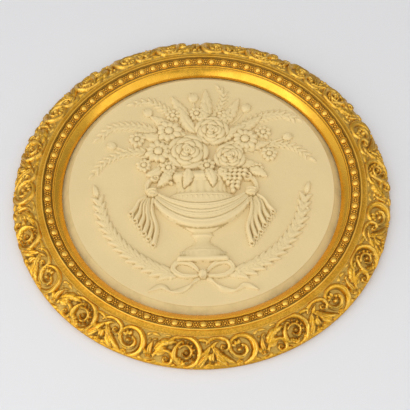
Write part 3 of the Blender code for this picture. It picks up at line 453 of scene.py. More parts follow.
def spray(c, points, pairs, long, width, top, base, lean, shrink):
    """A stalk with leaves in pairs along it and one at its tip."""
    path = curve(points, 14)
    c.bar(path, (0.9, 0.5), (1.4, 0.9), base, moat=0.2)
    step = np.hypot(*(path[1:] - path[:-1]).T)
    run = np.concatenate([[0.0], np.cumsum(step)]) / step.sum()

    def at(u):
        return np.array([np.interp(u, run, path[:, 0]), np.interp(u, run, path[:, 1])])

    for i in range(pairs):
        u = 0.1 + 0.84 * (i + 0.5) / pairs
        place = at(u)
        ahead = at(u + 0.03) - place
        size = long * (1.0 - (1.0 - shrink) * u)
        for side in (-1, 1):
            angle = np.arctan2(ahead[1], ahead[0]) + side * radians(lean) * 0.72
            tip = place + size * np.array([cos(angle), sin(angle)])
            c.leaf(bow(*place, *tip, -side * size * 0.11), width * (1.0 - 0.4 * u), top, base, moat=0.35)
    ahead = path[-1] - path[-4]
    tip = path[-1] + ahead * long * shrink / np.hypot(*ahead)
    c.leaf(bow(*path[-1], *tip), width * 0.7, top, base, moat=0.35)


def urn(c):
    """The vase: a turned shape seen from the front, with flutes, gadroons and mouldings."""
    level, half = np.array(sorted(URN_OUTLINE), float).T
    near = c.around((-45.0, level[0]), (45.0, level[-1]))
    z = c.z[near]
    wide = np.interp(z, level, half)
    v = abs(c.x[near]) / wide
    turn = np.arcsin(np.clip(v, 0, 1))
    height = 7.0 * (wide / 39.0) ** 0.55 * np.maximum(1.0 - v * v, 0.0) ** 0.5
    flutes = eased(-14.5, -12.5, z) * eased(2.0, 0.0, z) * (v < 0.98)
    height -= 0.6 * flutes * (0.5 - 0.5 * np.cos(turn * 22.0))
    gadroons = eased(-57.0, -52.0, z) * eased(-33.5, -36.5, z)
    height -= 0.9 * gadroons * (1.0 - abs(np.sin(turn * 8.0))) ** 1.5
    for centre, reach, high in URN_ROLLS:
        roll = np.maximum(1.0 - ((z - centre) / reach) ** 2, 0.0) ** 0.5
        height += high * roll * np.maximum(1.0 - v**6, 0.0)
    c.lay(near, height, v < 1.0, (v - 1.0) * wide, 0.5)


def swag(c, reach, level, sags, folds, gather, width, top, bases):
    """A cloth hung between two points, with folds that gather at its ends."""
    u = np.linspace(0.0, 1.0, 33)
    fall = (4.0 * u * (1.0 - u)) ** 0.82
    for i in range(folds):
        share = i / (folds - 1)
        off = gather * (share - 0.5)
        x = reach * (2.0 * u - 1.0) - off * 0.6 * np.cos(pi * u)
        z = level - (sags[0] + (sags[1] - sags[0]) * share) * fall - off * (1.0 - fall) * 0.8
        wide = width * (1.1 + 0.2 * sin(1.9 * i))
        widths = (width * 0.45, width * 0.9, wide, width * 0.9, width * 0.45)
        high = top * (0.75 + 0.25 * cos(2.4 * i))
        c.bar(np.stack([x, z], 1), widths, high, bases, moat=0.7, fold=0.12)


def cascade(c, x, z, side, lengths, pitch, base, top):
    """Cloth falling from a knot: folds that open downwards to a hem that runs from fold to fold."""
    middle = (len(lengths) - 1) / 2

    def fold(i, long):
        off = (i - middle) * pitch
        drift = side * (3.0 + long * 0.13)
        return curve([(x + off * 0.15, z), (x + drift * 0.55 + off * 0.55, z - long * 0.33),
                      (x + drift * 0.5 + off * 0.85, z - long * 0.68), (x + drift + off, z - long)])

    for i in range(len(lengths) - 1):
        long = 0.5 * (lengths[i] + lengths[i + 1]) + 1.0
        widths = (1.4, pitch * 0.5, pitch * 0.62, pitch * 0.62)
        c.bar(fold(i + 0.5, long), widths, (top * 0.5, top * 0.42, top * 0.36), base, power=0.3, moat=0.3)
    hem = []
    for i, long in enumerate(lengths):
        high = top * (0.86 + 0.14 * cos(2.3 * i))
        path = fold(i, long)
        widths = (1.0, pitch * 0.36, pitch * 0.43, pitch * 0.5)
        tops = (high * 0.7, high, high * 0.9, high)
        c.bar(path, widths, tops, base, moat=0.9, fold=0.22 * side, power=0.42)
        ex, ez = path[-1]
        near = c.around((ex - pitch, ez - pitch), (ex + pitch, ez + pitch))
        hollow = np.hypot((c.x[near] - ex) / (pitch * 0.42), (c.z[near] - ez + 0.6) / 1.5)
        low = near[hollow < 1.0]
        c.h[low] = np.minimum(c.h[low], base + 0.8 + 1.4 * hollow[hollow < 1.0] ** 2)
        hem += [(ex - pitch * 0.44, ez + 0.4), (ex, ez - 2.3), (ex + pitch * 0.44, ez + 0.4)]
    c.bar(curve(hem, 6), 0.75, top * 0.62, base, moat=0.5)


def laurel_and_bow(c):
    """Two laurel branches that follow the round, tied with a ribbon at the foot."""
    for side in (-1, 1):
        arc = [(side * 108 * sin(radians(a)), -108 * cos(radians(a))) for a in (3, 22, 42, 62, 82)]
        spray(c, arc, 14, 21.0, 4.6, 3.3, 0.2, 36, 0.72)
        for angle in (16, 31, 46, 60, 73):
            for radius, size in ((104.6, 1.9), (111.8, 1.7)):
                x = side * radius * sin(radians(angle))
                c.dome(x, -radius * cos(radians(angle)), size, size, 2.6, 0.2)
    for side in (-1, 1):
        tail = [(side * x, z) for x, z in ((3, -106), (16, -118), (30, -122), (40, -116), (52, -121))]
        turns = abs(np.cos(pi * 2.5 * np.linspace(0, 1, 25)))
        widths = 3.0 * (0.3 + 0.7 * turns)
        c.bar(curve(tail), widths, 2.2 * (1.25 - 0.45 * turns), 0.3, power=0.28, moat=0.6, fold=0.25)
        round_it = ((2, -103), (12, -93), (24, -91), (29, -98), (21, -105), (9, -106), (2, -104))
        loop = [(side * x, z) for x, z in round_it]
        widths = (1.2, 2.6, 3.2, 2.8, 2.8, 2.4, 1.2)
        c.bar(curve(loop), widths, (2.6, 3.6, 3.8, 3.4, 3.6, 3.0), 0.3, groove=0.25, moat=0.8)
    c.dome(0, -104, 4.6, 5.2, 4.6, 0.6, moat=0.8)
    for i in (-1, 0, 1):
        c.bar(bow(i * 1.6 - 0.4, -100, i * 1.6, -108.5, 1.2), (0.5, 0.9, 0.5), 0.8, 4.4, moat=0.3)


def vase_and_cloth(c):
    """The urn on its plinth, its handles, and the cloth that hangs from them."""
    c.bar(bow(-23, -88, 23, -88), 2.6, 5.6, power=0.15)
    for side in (-1, 1):
        grip = [(side * x, z) for x, z in ((31, -1), (44, 6), (54, 2), (56, -9), (49, -19), (38, -25))]
        tops = (4.6, 4.2, 4.4, 4.4, 4.4, 5.0)
        c.bar(curve(grip), (2.0, 2.6, 2.9, 2.7, 2.4, 2.8), tops, 0.2, groove=0.22, moat=0.7)
        c.bar(whorl(side * 47, 5.5, 90, 90 - side * 420, (5.2, 1.2)), (1.9, 1.0), (4.2, 4.6), 0.3, moat=0.6)
    urn(c)
    for i in range(-9, 10):
        a = i * 0.157
        wide = 1.25 * max(cos(a), 0.35)
        c.dome(34.2 * sin(a), -18.6, wide, 1.25, 0.8 * cos(a) + 0.2, 6.6 * cos(a), moat=0.0)
    swag(c, 50.0, -13.0, (17.0, 39.0), 7, 7.0, 2.5, 2.1, (2.4, 4.0, 5.6, 6.3, 5.6, 4.0, 2.4))
    lengths = (58, 51, 45, 37, 30, 22)
    for side in (-1, 1):
        cascade(c, side * 52, -14, side, lengths[::side], 5.6, 0.4, 4.4)
        c.dome(side * 51, -12, 6.2, 5.4, 4.4, 2.4, angle=side * 30, moat=0.8)
        for i in range(3):
            tie = ((46.5 + i, -9.5 - 3.0 * i), (51, -8.8 - 3.2 * i), (56 - i, -10.5 - 3.0 * i))
            c.bar(curve([(side * x, z) for x, z in tie]), (0.6, 1.1, 0.6), 1.0, 5.7, moat=0.5)


def foliage(c):
    """The leaves of the bunch: low ferns behind, two ranks of broad leaves in front."""
    for points, pairs, long in FERNS:
        spray(c, points, pairs, long, long * 0.17, 2.0, 0.15, 42, 0.6)
    ranks = ((BACK_LEAVES, -7, -3, 8.0, 3.4, 0.5), (FRONT_LEAVES, 6, 2, 6.5, 3.0, 1.7))
    for rank, turn, bend, width, high, base in ranks:
        for angle, start, long in rank:
            foot = polar(2, 40, 0.7 * start, angle)
            path = bow(*foot, *polar(2, 40, start + long, angle + turn), bend)
            c.leaf(path, width, high, base, lobes=7, veins=7, moat=0.8)


def flowers(c):
    """Buds, open flowers, rim leaves, grapes and three roses, from the back to the front."""
    for place in BUDS:
        bud(c, *place, 3.4, 0.5)
    for i, place in enumerate(SMALL_DAISIES):
        daisy(c, *place, 3.2, 1.4, 7.0 * i)
    for cx, cz, angle, long, high in RIM_LEAVES:
        path = bow(cx, cz, *polar(cx, cz, long, angle), 2.0)
        c.leaf(path, 5.6, 2.6, (high, high * 0.85), lobes=5, veins=6, moat=0.8)
    for row in range(6):
        for i in range(6 - row):
            off = i - (5 - row) / 2
            x = 33 + 5.0 * off + 1.4 * sin(row * 2.0)
            c.dome(x, 12 - row * 4.6, 2.9, 2.9, 3.4, 3.8 - 0.3 * row - 0.12 * abs(off), moat=0.6)
    for i, place in enumerate(LARGE_DAISIES):
        daisy(c, *place, 3.8, 3.0, 9.0 * i)
    rose(c, 12, 64, 18.5, 5.2, 2.6, 10)
    rose(c, 30, 30, 17, 5.2, 3.0, 50)
    rose(c, -14, 37, 22, 5.8, 2.8, 0)


def plaque_relief(x, z):
    """Heights of the relief over the plaque's field, from its centre, drawn on a round sheet."""
    scale = RELIEF_RADIUS / RELIEF_SHEET
    c = Carving(np.asarray(x) / scale, np.asarray(z) / scale)
    laurel_and_bow(c)
    vase_and_cloth(c)
    foliage(c)
    flowers(c)
    return np.maximum(c.h, 0.0).reshape(np.shape(x)) * scale


# Meshes.


def upright(points):
    """Local places (right, up, forward from the back) in millimetres, as world places in metres."""
    p = np.asarray(points, float)
    return np.stack([p[..., 0], -p[..., 2], p[..., 1] - HANG_HEIGHT], -1) * MM


def mesh_of(name, points, faces):
    """A mesh from places and lists of faces, each list an array with one face a row."""
    mesh = bpy.data.meshes.new(name)
    mesh.vertices.add(len(points))
    mesh.vertices.foreach_set("co", np.ascontiguousarray(points, np.float32).ravel())
    corners = np.concatenate([f.ravel() for f in faces]).astype(np.int32)
    starts = []
    at = 0
    for f in faces:
        starts.append(at + np.arange(len(f)) * f.shape[1])
        at += f.size
    mesh.loops.add(len(corners))
    mesh.loops.foreach_set("vertex_index", corners)
    mesh.polygons.add(sum(len(f) for f in faces))
    mesh.polygons.foreach_set("loop_start", np.concatenate(starts).astype(np.int32))
    mesh.update(calc_edges=True)
    return mesh


def ring_faces(steps, count, closed):
    """Faces of a grid of steps turns by count places, wound outwards on a face that looks forward."""
    i = np.arange(steps)[:, None]
    j = np.arange(count if closed else count - 1)[None, :]
    here = i * count + j
    inner = i * count + (j + 1) % count
    over = ((i + 1) % steps) * count + j
    far = ((i + 1) % steps) * count + (j + 1) % count
    return np.stack([here, inner, far, over], -1).reshape(-1, 4)


def turned_points(profile, steps):
    """Radius and depth points swept round the axis, one row for each step."""
    profile = np.asarray(profile, float)
    a = np.arange(steps) * 2 * pi / steps
    x = np.cos(a)[:, None] * profile[None, :, 0]
    y = np.sin(a)[:, None] * profile[None, :, 0]
    return np.stack([x, y, np.broadcast_to(profile[None, :, 1], x.shape)], -1)


def add_object(name, data):
    obj = bpy.data.objects.new(name, data)
    bpy.context.scene.collection.objects.link(obj)
    return obj


def freeze(obj):
    """Makes the object's modifiers part of its mesh."""
    ready = bpy.data.meshes.new_from_object(obj.evaluated_get(bpy.context.evaluated_depsgraph_get()))
    obj.modifiers.clear()
    old = obj.data
    obj.data = ready
    bpy.data.meshes.remove(old)


def thin_out(obj, faces, foot):
    """Keeps about that many triangles, where the surface needs them, and all of the flat round its forms."""
    count = sum(len(p.vertices) - 2 for p in obj.data.polygons)
    if count > faces:
        free = obj.vertex_groups.new(name="free")
        free.add(np.nonzero(~foot)[0].tolist(), 1.0, "REPLACE")
        fewer = obj.modifiers.new("Thin out", "DECIMATE")
        fewer.ratio = faces / count
        fewer.vertex_group = free.name
        freeze(obj)
        obj.vertex_groups.clear()


def places(mesh):
    flat = np.empty(len(mesh.vertices) * 3, np.float32)
    mesh.vertices.foreach_get("co", flat)
    return flat.reshape(-1, 3)


def local_places(mesh):
    """World places of a mesh, back in millimetres from the centre: right, up, forward."""
    p = places(mesh) / MM
    return p[:, 0], p[:, 2] + HANG_HEIGHT, -p[:, 1]


def set_share(mesh, name, values):
    """A value from 0 to 1 at every vertex, for the materials."""
    made = mesh.attributes.new(name, "FLOAT", "POINT")
    made.data.foreach_set("value", np.ascontiguousarray(np.clip(values, 0.0, 1.0), np.float32))


def line_at(radius, middle, width):
    """A share that is 1 on a circle and fades to both sides of it."""
    return np.exp(-(((radius - middle) / width) ** 2))


def blurred(grid, reach, wrap=False):
    """A grid averaged over a square of 2 reach + 1 cells, three times over."""
    for _ in range(3):
        for axis in (0, 1):
            mode = "wrap" if wrap and axis == 1 else "edge"
            pad = [(0, 0), (0, 0)]
            pad[axis] = (reach + 1, reach)
            run = np.cumsum(np.pad(grid, pad, mode=mode), axis=axis)
            size = 2 * reach + 1
            if axis == 0:
                grid = (run[size:, :] - run[:-size, :]) / size
            else:
                grid = (run[:, size:] - run[:, :-size]) / size
    return grid


def read_grid(grid, row, column):
    """Grid values between its cells, at fractional rows and columns."""
    row = np.clip(row, 0, grid.shape[0] - 1.001)
    column = np.clip(column, 0, grid.shape[1] - 1.001)
    r = row.astype(int)
    c = column.astype(int)
    fr = row - r
    fc = column - c
    near = grid[r, c] * (1 - fc) + grid[r, c + 1] * fc
    far = grid[r + 1, c] * (1 - fc) + grid[r + 1, c + 1] * fc
    return near * (1 - fr) + far * fr


def finish_piece(obj, slot, materials, *nodes):
    """Gives a piece its materials and its body, and hides the named imported parts."""
    marks = np.zeros(len(obj.data.polygons), np.int32)
    obj.data.polygons.foreach_get("material_index", marks)
    obj.data.materials.clear()
    for mat in materials:
        obj.data.materials.append(mat)
    obj.data.polygons.foreach_set("material_index", np.minimum(marks, len(materials) - 1))
    obj.data.shade_smooth()
    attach(obj, "root")
    if nodes:
        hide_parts(*nodes)


# Materials.


def feed(tree, socket, value):
    """Sets an input to a value, or links another node's output to it."""
    if isinstance(value, bpy.types.NodeSocket):
        tree.links.new(value, socket)
    elif socket.type == "RGBA":
        socket.default_value = (*value, 1.0)
    else:
        socket.default_value = value


def wired(tree, kind, inputs, **values):
    """The outputs of a new node with these settings and inputs."""
    node = tree.nodes.new(kind)
    for key, value in values.items():
        setattr(node, key, value)
    for key, value in inputs.items():
        feed(tree, node.inputs[key], value)
    return node.outputs


class Nodes:
    """Short ways to lay out a material's nodes."""

    def __init__(self, name):
        self.mat = bpy.data.materials.new(name)
        self.mat.use_nodes = True
        self.tree = self.mat.node_tree
        self.shader = self.tree.nodes["Principled BSDF"]
        self.place = self.add("ShaderNodeTexCoord", {})["Object"]

    def add(self, kind, inputs, **values):
        return wired(self.tree, kind, inputs, **values)

    def noise(self, scale, detail=3.0, rough=0.55, stretch=None, warp=0.0):
        place = self.place
        if stretch:
            place = self.add("ShaderNodeMapping", {"Scale": stretch, "Vector": place})["Vector"]
        inputs = {"Scale": scale, "Detail": detail, "Roughness": rough, "Distortion": warp, "Vector": place}
        return self.add("ShaderNodeTexNoise", inputs)["Fac"]

    def share(self, name):
        return self.add("ShaderNodeAttribute", {}, attribute_name=name)["Fac"]

    def ramp(self, source, low, high, start=0.0, end=1.0):
        """source from low to high, brought to start to end and kept there."""
        inputs = {"From Min": low, "From Max": high, "To Min": start, "To Max": end, "Value": source}
        return self.add("ShaderNodeMapRange", inputs, interpolation_type="SMOOTHSTEP")["Result"]

    def maths(self, how, a, b):
        return self.add("ShaderNodeMath", {0: a, 1: b}, operation=how)[0]

    def plus(self, a, b):
        return self.maths("ADD", a, b)

    def times(self, a, b):
        return self.maths("MULTIPLY", a, b)

    def mix(self, factor, a, b):
        """Colour a where factor is 0, b where it is 1."""
        return self.add("ShaderNodeMix", {"Factor": factor, 6: a, 7: b}, data_type="RGBA")[2]

    def bump(self, height, distance, strength=1.0):
        inputs = {"Distance": distance, "Strength": strength, "Height": height}
        self.out(Normal=self.add("ShaderNodeBump", inputs)["Normal"])

    def out(self, **sockets):
        for key, value in sockets.items():
            feed(self.tree, self.shader.inputs[key.replace("_", " ")], value)
        return self.mat


def gilding(name, settings, rough, speckle, grain, metal=0.95, deeper=0.0, coat=1.0, tint=1.0):
    """Gold leaf over gesso.

    Its tone drifts. It is dull with patina on the sunk ground, darker in creases with grime and painted
    shade, and paler on raised tops and ridges as a painted highlight, as the mesh's recess, crease and raised
    shares say.
    """
    n = Nodes(name)
    light = np.array(settings.gold_light) * tint
    deep = np.array(settings.gold_deep) * tint
    drift = n.ramp(n.noise(42.0, 4.0, 0.6), 0.32, 0.68)
    tone = n.mix(drift, tuple(deep), tuple(light + (deep - light) * deeper))
    speck = n.ramp(n.noise(620.0, 3.0, 0.7), 0.38, 0.66)
    tone = n.mix(n.times(speck, speckle), tone, tuple(0.62 * deep))
    patchy = n.ramp(n.noise(260.0, 3.0, 0.6), 0.3, 0.7, -0.12, 0.12)
    # Painted highlight: paler gold laid on the raised tops and ridges.
    painted_highlight = n.ramp(n.plus(n.share("raised"), patchy), 0.35, 1.0, 0.0, 0.5)
    ground = n.times(n.ramp(n.plus(n.share("recess"), patchy), 0.25, 0.9), settings.patina_amount)
    # Grime and painted shade: a dark colour laid in creases, recesses and round the pearls.
    grime_and_shade = n.ramp(n.plus(n.share("crease"), patchy), 0.3, 1.0, 0.0, 0.85)
    tone = n.mix(painted_highlight, tone, tuple(settings.gold_highlight))
    stipple = n.ramp(n.noise(800.0, 2.0, 0.6), 0.4, 0.6)
    sand = np.array(settings.patina)
    tone = n.mix(ground, tone, n.mix(stipple, tuple(0.78 * sand), tuple(sand)))
    tone = n.mix(grime_and_shade, tone, tuple(settings.grime_and_shade))
    covered = n.maths("MAXIMUM", ground, grime_and_shade)
    metallic = n.ramp(covered, 0.0, 1.0, metal, 0.3)
    fine = n.ramp(n.noise(180.0, 4.0, 0.6), 0.3, 0.7, rough - 0.05, rough + 0.07)
    roughness = n.plus(fine, n.ramp(ground, 0.0, 1.0, 0.0, 0.2))
    varnish = n.ramp(covered, 0.0, 0.7, coat * settings.varnish, 0.0)
    coarse = n.times(n.noise(260.0, 4.0), grain)
    n.bump(n.plus(coarse, n.times(n.noise(900.0, 2.0), 0.35 * grain)), 0.0005)
    n.out(Specular_IOR_Level=0.25, Coat_Weight=varnish, Coat_Roughness=0.16)
    return n.out(Base_Color=tone, Metallic=metallic, Roughness=roughness)


def plaster_finish(name, settings):
    """Cast cream plaster: darker and warmer where the carving is deep, as painted shade with some grime;
    paler on raised tops as a painted highlight; and with a dusty, smudged bevel.
    """
    n = Nodes(name)
    body = tuple(settings.plaster)
    cloud = n.ramp(n.noise(16.0, 4.0, 0.6), 0.3, 0.7)
    tone = n.mix(cloud, tuple(v * 0.955 for v in body), body)
    speck = n.ramp(n.noise(700.0, 2.0, 0.6), 0.5, 0.75)
    tone = n.mix(n.times(speck, 0.10), tone, (0.50, 0.38, 0.20))
    # Painted shade with some grime: the recesses darkened towards the deep plaster colour.
    darkening = n.times(n.ramp(n.share("recess"), 0.25, 1.1), settings.plaster_shade_amount)
    tone = n.mix(darkening, tone, tuple(settings.plaster_shade))
    # Painted highlight: raised tops lightened towards the pale plaster colour.
    painted_highlight = n.times(n.ramp(n.share("raised"), 0.2, 1.0), 0.35)
    tone = n.mix(painted_highlight, tone, tuple(settings.plaster_highlight))
    bevel = n.share("bevel")
    dust = n.times(bevel, n.ramp(n.noise(60.0, 5.0, 0.65), 0.25, 0.75, 0.62, 1.0))
    tone = n.mix(dust, tone, tuple(settings.dust))
    smudge = n.times(bevel, n.ramp(n.noise(24.0, 6.0, 0.7), 0.44, 0.68, 0.0, 0.35))
    tone = n.mix(smudge, tone, (0.40, 0.30, 0.12))
    rough = n.ramp(n.noise(90.0, 3.0), 0.3, 0.7, 0.50, 0.60)
    n.bump(n.plus(n.noise(240.0, 4.0, 0.6), n.times(n.noise(1400.0, 2.0), 0.3)), 0.00025, 0.6)
    return n.out(Base_Color=tone, Roughness=rough, Specular_IOR_Level=0.35)


def bare_wood(name):
    """Unfinished pale wood of the frame's back, with grain that runs across."""
    n = Nodes(name)
    grain = n.noise(30.0, 5.0, 0.6, stretch=(1.0, 1.0, 9.0), warp=0.4)
    tone = n.mix(n.ramp(grain, 0.3, 0.7), (0.28, 0.17, 0.085), (0.47, 0.32, 0.18))
    darkening = n.times(n.ramp(n.noise(9.0, 4.0), 0.45, 0.75), 0.45)
    tone = n.mix(darkening, tone, (0.20, 0.12, 0.06))
    n.bump(grain, 0.0004, 0.5)
    return n.out(Base_Color=tone, Roughness=0.78)


# Shape of the frame.


def scroll_base(u):
    """Radius and depth of the slope under the scrolls, from its inner edge at 0 to its outer at 1."""
    radius = SCROLL_RADIUS + (EDGE_RADIUS - SCROLL_RADIUS) * u
    depth = SCROLL_DEPTH + (EDGE_DEPTH - SCROLL_DEPTH) * u + 4.0 * SCROLL_BULGE * u * (1.0 - u)
    return radius, depth


def scroll_slope(u):
    return (EDGE_DEPTH - SCROLL_DEPTH + 4.0 * SCROLL_BULGE * (1.0 - 2.0 * u)) / (EDGE_RADIUS - SCROLL_RADIUS)


def round_over(cx, cd, radius, start, end, count):
    """Points of a small round, from one angle to another in degrees."""
    angles = np.radians(np.linspace(start, end, count))
    return [(cx + radius * cos(a), cd + radius * sin(a)) for a in angles]


def moulding_profile():
    """The frame's section as (radius, depth, zone), from the lip's underside round the face to the back."""
    points = [(SIGHT_RADIUS + 0.3, LIP_UNDERSIDE, 0), (SIGHT_RADIUS, LIP_UNDERSIDE + 0.3, 0)]
    points.append((SIGHT_RADIUS, LIP_TOP - 0.5, 0))
    for i in range(13):
        u = 0.03 + 0.97 * i / 12
        points.append((SIGHT_RADIUS + (SLOPE_RADIUS - SIGHT_RADIUS) * u,
                       LIP_TOP + (SLOPE_TOP - LIP_TOP) * u + 4.0 * SLOPE_BULGE * u * (1.0 - u), 0))
    points += [(SLOPE_RADIUS + 0.2, SLOPE_TOP - 0.3, 0), (SLOPE_RADIUS + 0.5, SLOPE_TOP - 0.3, 0)]
    points += [(x, d, 0) for x, d in round_over(FILLET_RADIUS, FILLET_TOP - 0.7, 0.7, 175, -10, 8)]
    near, far = CHANNEL_RADIUS
    low, high = CHANNEL_DEPTH
    points += [(near - 0.3, low - 0.9, 1), (near + 0.2, low - 1.0, 1)]
    for i in range(7):
        u = i / 6
        points.append((near + 0.5 + (far - near - 0.9) * u, low - 0.4 + (high - low) * u, 1))
    points += [(far - 0.1, high - 1.2, 1), (far + 0.3, high - 1.0, 1)]
    points += [(x, d, 1) for x, d in round_over(RIDGE_RADIUS - 0.1, RIDGE_TOP - 0.95, 0.95, 165, 5, 10)]
    points += [(BAND_RADIUS - 0.5, BAND_DEPTH + 0.3, 2), (BAND_RADIUS - 0.1, BAND_DEPTH, 2)]
    for i in range(1, 6):
        u = i / 7
        across = BAND_RADIUS + (SCROLL_RADIUS - BAND_RADIUS) * u
        points.append((across, BAND_DEPTH + (SCROLL_DEPTH - BAND_DEPTH) * u - 0.5 * sin(pi * u), 2))
    points.append((SCROLL_RADIUS - 0.4, SCROLL_DEPTH + 0.2, 2))
    points += [(SCROLL_RADIUS, SCROLL_DEPTH + 0.3, 2), (SCROLL_RADIUS + 0.5, SCROLL_DEPTH - 0.1, 2)]
    for i in range(1, 12):
        u = i / 11
        radius, depth = scroll_base(u)
        sink = SCROLL_SKIN * eased(0.0, 0.1, u)
        points.append((radius - 0.4 * sink, depth - sink, 2))
    points += [(EDGE_RADIUS + 0.1, EDGE_DEPTH - 0.9, 2), (EDGE_RADIUS, 0.5, 2), (EDGE_RADIUS - 0.6, 0.0, 3)]
    points += [(EDGE_RADIUS - 12.0 * i, 0.0, 3) for i in (1, 2, 3)]
    points += [(REBATE_RADIUS + 0.3, 0.0, 3), (REBATE_RADIUS, 0.3, 3)]
    points += [(REBATE_RADIUS, LIP_UNDERSIDE - 0.2, 3), (REBATE_RADIUS - 0.2, LIP_UNDERSIDE, 3)]
    points.append((LEDGE_RADIUS, LIP_UNDERSIDE, 3))
    return points


def keyhole_cutters():
    """The outlines cut in the back: a hole for a screw's head, a slot above it and room behind the slot."""
    low = HANG_HEIGHT - KEY_BELOW
    high = low + KEY_RISE
    made = []
    for name, top, wide, start, end in (
        ("key_entry", low, KEY_HOLE / 2, -1.0, KEY_DEPTH),
        ("key_slot", high, KEY_SLOT / 2, -1.0, KEY_DEPTH - 0.2),
        ("key_head", high, KEY_HOLE / 2 - 0.2, KEY_FACE, KEY_DEPTH - 0.1),
    ):
        bm = bmesh.new()
        ring = []
        for i in range(40):
            a = 2 * pi * (i + 0.5) / 40
            y = (top if sin(a) > 0 else low) + wide * sin(a)
            ring.append(bm.verts.new(upright((wide * cos(a), y, start))))
        lifted = bmesh.ops.extrude_face_region(bm, geom=[bm.faces.new(ring)])["geom"]
        ends = [v for v in lifted if isinstance(v, bmesh.types.BMVert)]
        bmesh.ops.translate(bm, verts=ends, vec=(0.0, (start - end) * MM, 0.0))
        bmesh.ops.recalc_face_normals(bm, faces=bm.faces[:])
        mesh = bpy.data.meshes.new(name)
        bm.to_mesh(mesh)
        bm.free()
        made.append(add_object(name, mesh))
    return made


def ball(bm, centre, radii, tilt, segments, rings):
    """A closed oval ball, turned about the local Y axis by tilt."""
    made = bmesh.ops.create_uvsphere(bm, u_segments=segments, v_segments=rings, radius=1.0)["verts"]
    place = Matrix.Translation(centre) @ Matrix.Rotation(tilt, 4, "Y") @ Matrix.Diagonal((*radii, 1.0))
    bmesh.ops.transform(bm, matrix=place, verts=made)


def hoop(bm, centre, big, small, long, tilt, segments, sides):
    """A closed ring of round section, its length along the course a multiple of its width."""
    turn = Matrix.Translation(centre) @ Matrix.Rotation(tilt, 4, "Y")
    rows = []
    for i in range(segments):
        a = 2 * pi * i / segments
        row = []
        for j in range(sides):
            b = 2 * pi * j / sides
            reach = big + small * cos(b)
            row.append(bm.verts.new(turn @ Vector((reach * cos(a), long * reach * sin(a), small * sin(b)))))
        rows.append(row)
    for i in range(segments):
        for j in range(sides):
            k, m = (i + 1) % segments, (j + 1) % sides
            bm.faces.new((rows[i][j], rows[k][j], rows[k][m], rows[i][m]))


def bead_unit(settings):
    """One pearl in its ring, with the small sprig that parts it from the next."""
    tilt = -np.arctan(CHANNEL_RISE)
    floor = 0.5 * sum(CHANNEL_DEPTH) - 0.3
    pearl = settings.pearl_radius / MM
    bm = bmesh.new()
    ball(bm, (BEAD_RING - 0.2, 0.0, floor + 0.7), (pearl, pearl, 0.7 * pearl), tilt, 20, 12)
    hoop(bm, (BEAD_RING, 0.0, floor + 0.4), pearl + 0.25, 0.38, 1.28, tilt, 28, 8)
    sprig = [(0.0, 0.0, 1.1, 1.3)]
    sprig += [(way, off, 0.8, 1.1) for way in (-2.25, 2.25) for off in (-1.25, 1.25)]
    sprig += [(0.0, off, 0.6, 0.9) for off in (-2.05, 2.05)]
    for way, off, wide, high in sprig:
        angle = pi / BEADS + off / BEAD_RING
        reach = BEAD_RING + way
        centre = (reach * cos(angle), reach * sin(angle), floor + 0.25 + way * CHANNEL_RISE)
        ball(bm, centre, (wide, wide, high), tilt, 12, 8)
    bmesh.ops.scale(bm, vec=(MM, MM, MM), verts=bm.verts[:])
    mesh = bpy.data.meshes.new("bead_unit")
    bm.to_mesh(mesh)
    bm.free()
    return add_object("bead_unit", mesh)


def round_the_ring_tree(mat):
    """Geometry nodes that repeat an object round the axis: count and start angle are its inputs."""
    tree = bpy.data.node_groups.new("Round the ring", "GeometryNodeTree")
    face = tree.interface
    face.new_socket("Geometry", in_out="INPUT", socket_type="NodeSocketGeometry")
    kinds = (("Unit", "Object"), ("Count", "Int"), ("Start angle", "Float"))
    taken = [face.new_socket(name, in_out="INPUT", socket_type="NodeSocket" + kind) for name, kind in kinds]
    face.new_socket("Geometry", in_out="OUTPUT", socket_type="NodeSocketGeometry")
    given = wired(tree, "NodeGroupInput", {})
    line = wired(tree, "GeometryNodeMeshLine", {"Offset": (0.0, 0.0, 0.0), "Count": given["Count"]})
    info = wired(tree, "GeometryNodeObjectInfo", {"Object": given["Unit"]})
    step = wired(tree, "ShaderNodeMath", {0: 2 * pi, 1: given["Count"]}, operation="DIVIDE")
    index = wired(tree, "GeometryNodeInputIndex", {})
    inputs = {0: index[0], 1: step[0], 2: given["Start angle"]}
    turn = wired(tree, "ShaderNodeMath", inputs, operation="MULTIPLY_ADD")
    spin = wired(tree, "ShaderNodeCombineXYZ", {"Z": turn[0]})
    inputs = {"Points": line["Mesh"], "Instance": info["Geometry"], "Rotation": spin[0]}
    placed = wired(tree, "GeometryNodeInstanceOnPoints", inputs)
    real = wired(tree, "GeometryNodeRealizeInstances", {"Geometry": placed["Instances"]})
    paint = wired(tree, "GeometryNodeSetMaterial", {"Geometry": real["Geometry"], "Material": mat})
    wired(tree, "NodeGroupOutput", {"Geometry": paint["Geometry"]})
    return tree, [socket.identifier for socket in taken]


# Settings and steps.


def length(name, text, default):
    return bpy.props.FloatProperty(
        name=name, description=text, default=default, min=0.0, subtype="DISTANCE", unit="LENGTH"
    )


def colour(name, text, default):
    return bpy.props.FloatVectorProperty(
        name=name, description=text, default=default, size=3, min=0.0, max=1.0, subtype="COLOR"
    )


def part_of(name, text, default):
    return bpy.props.FloatProperty(
        name=name, description=text, default=default, min=0.0, max=1.0, subtype="FACTOR"
    )


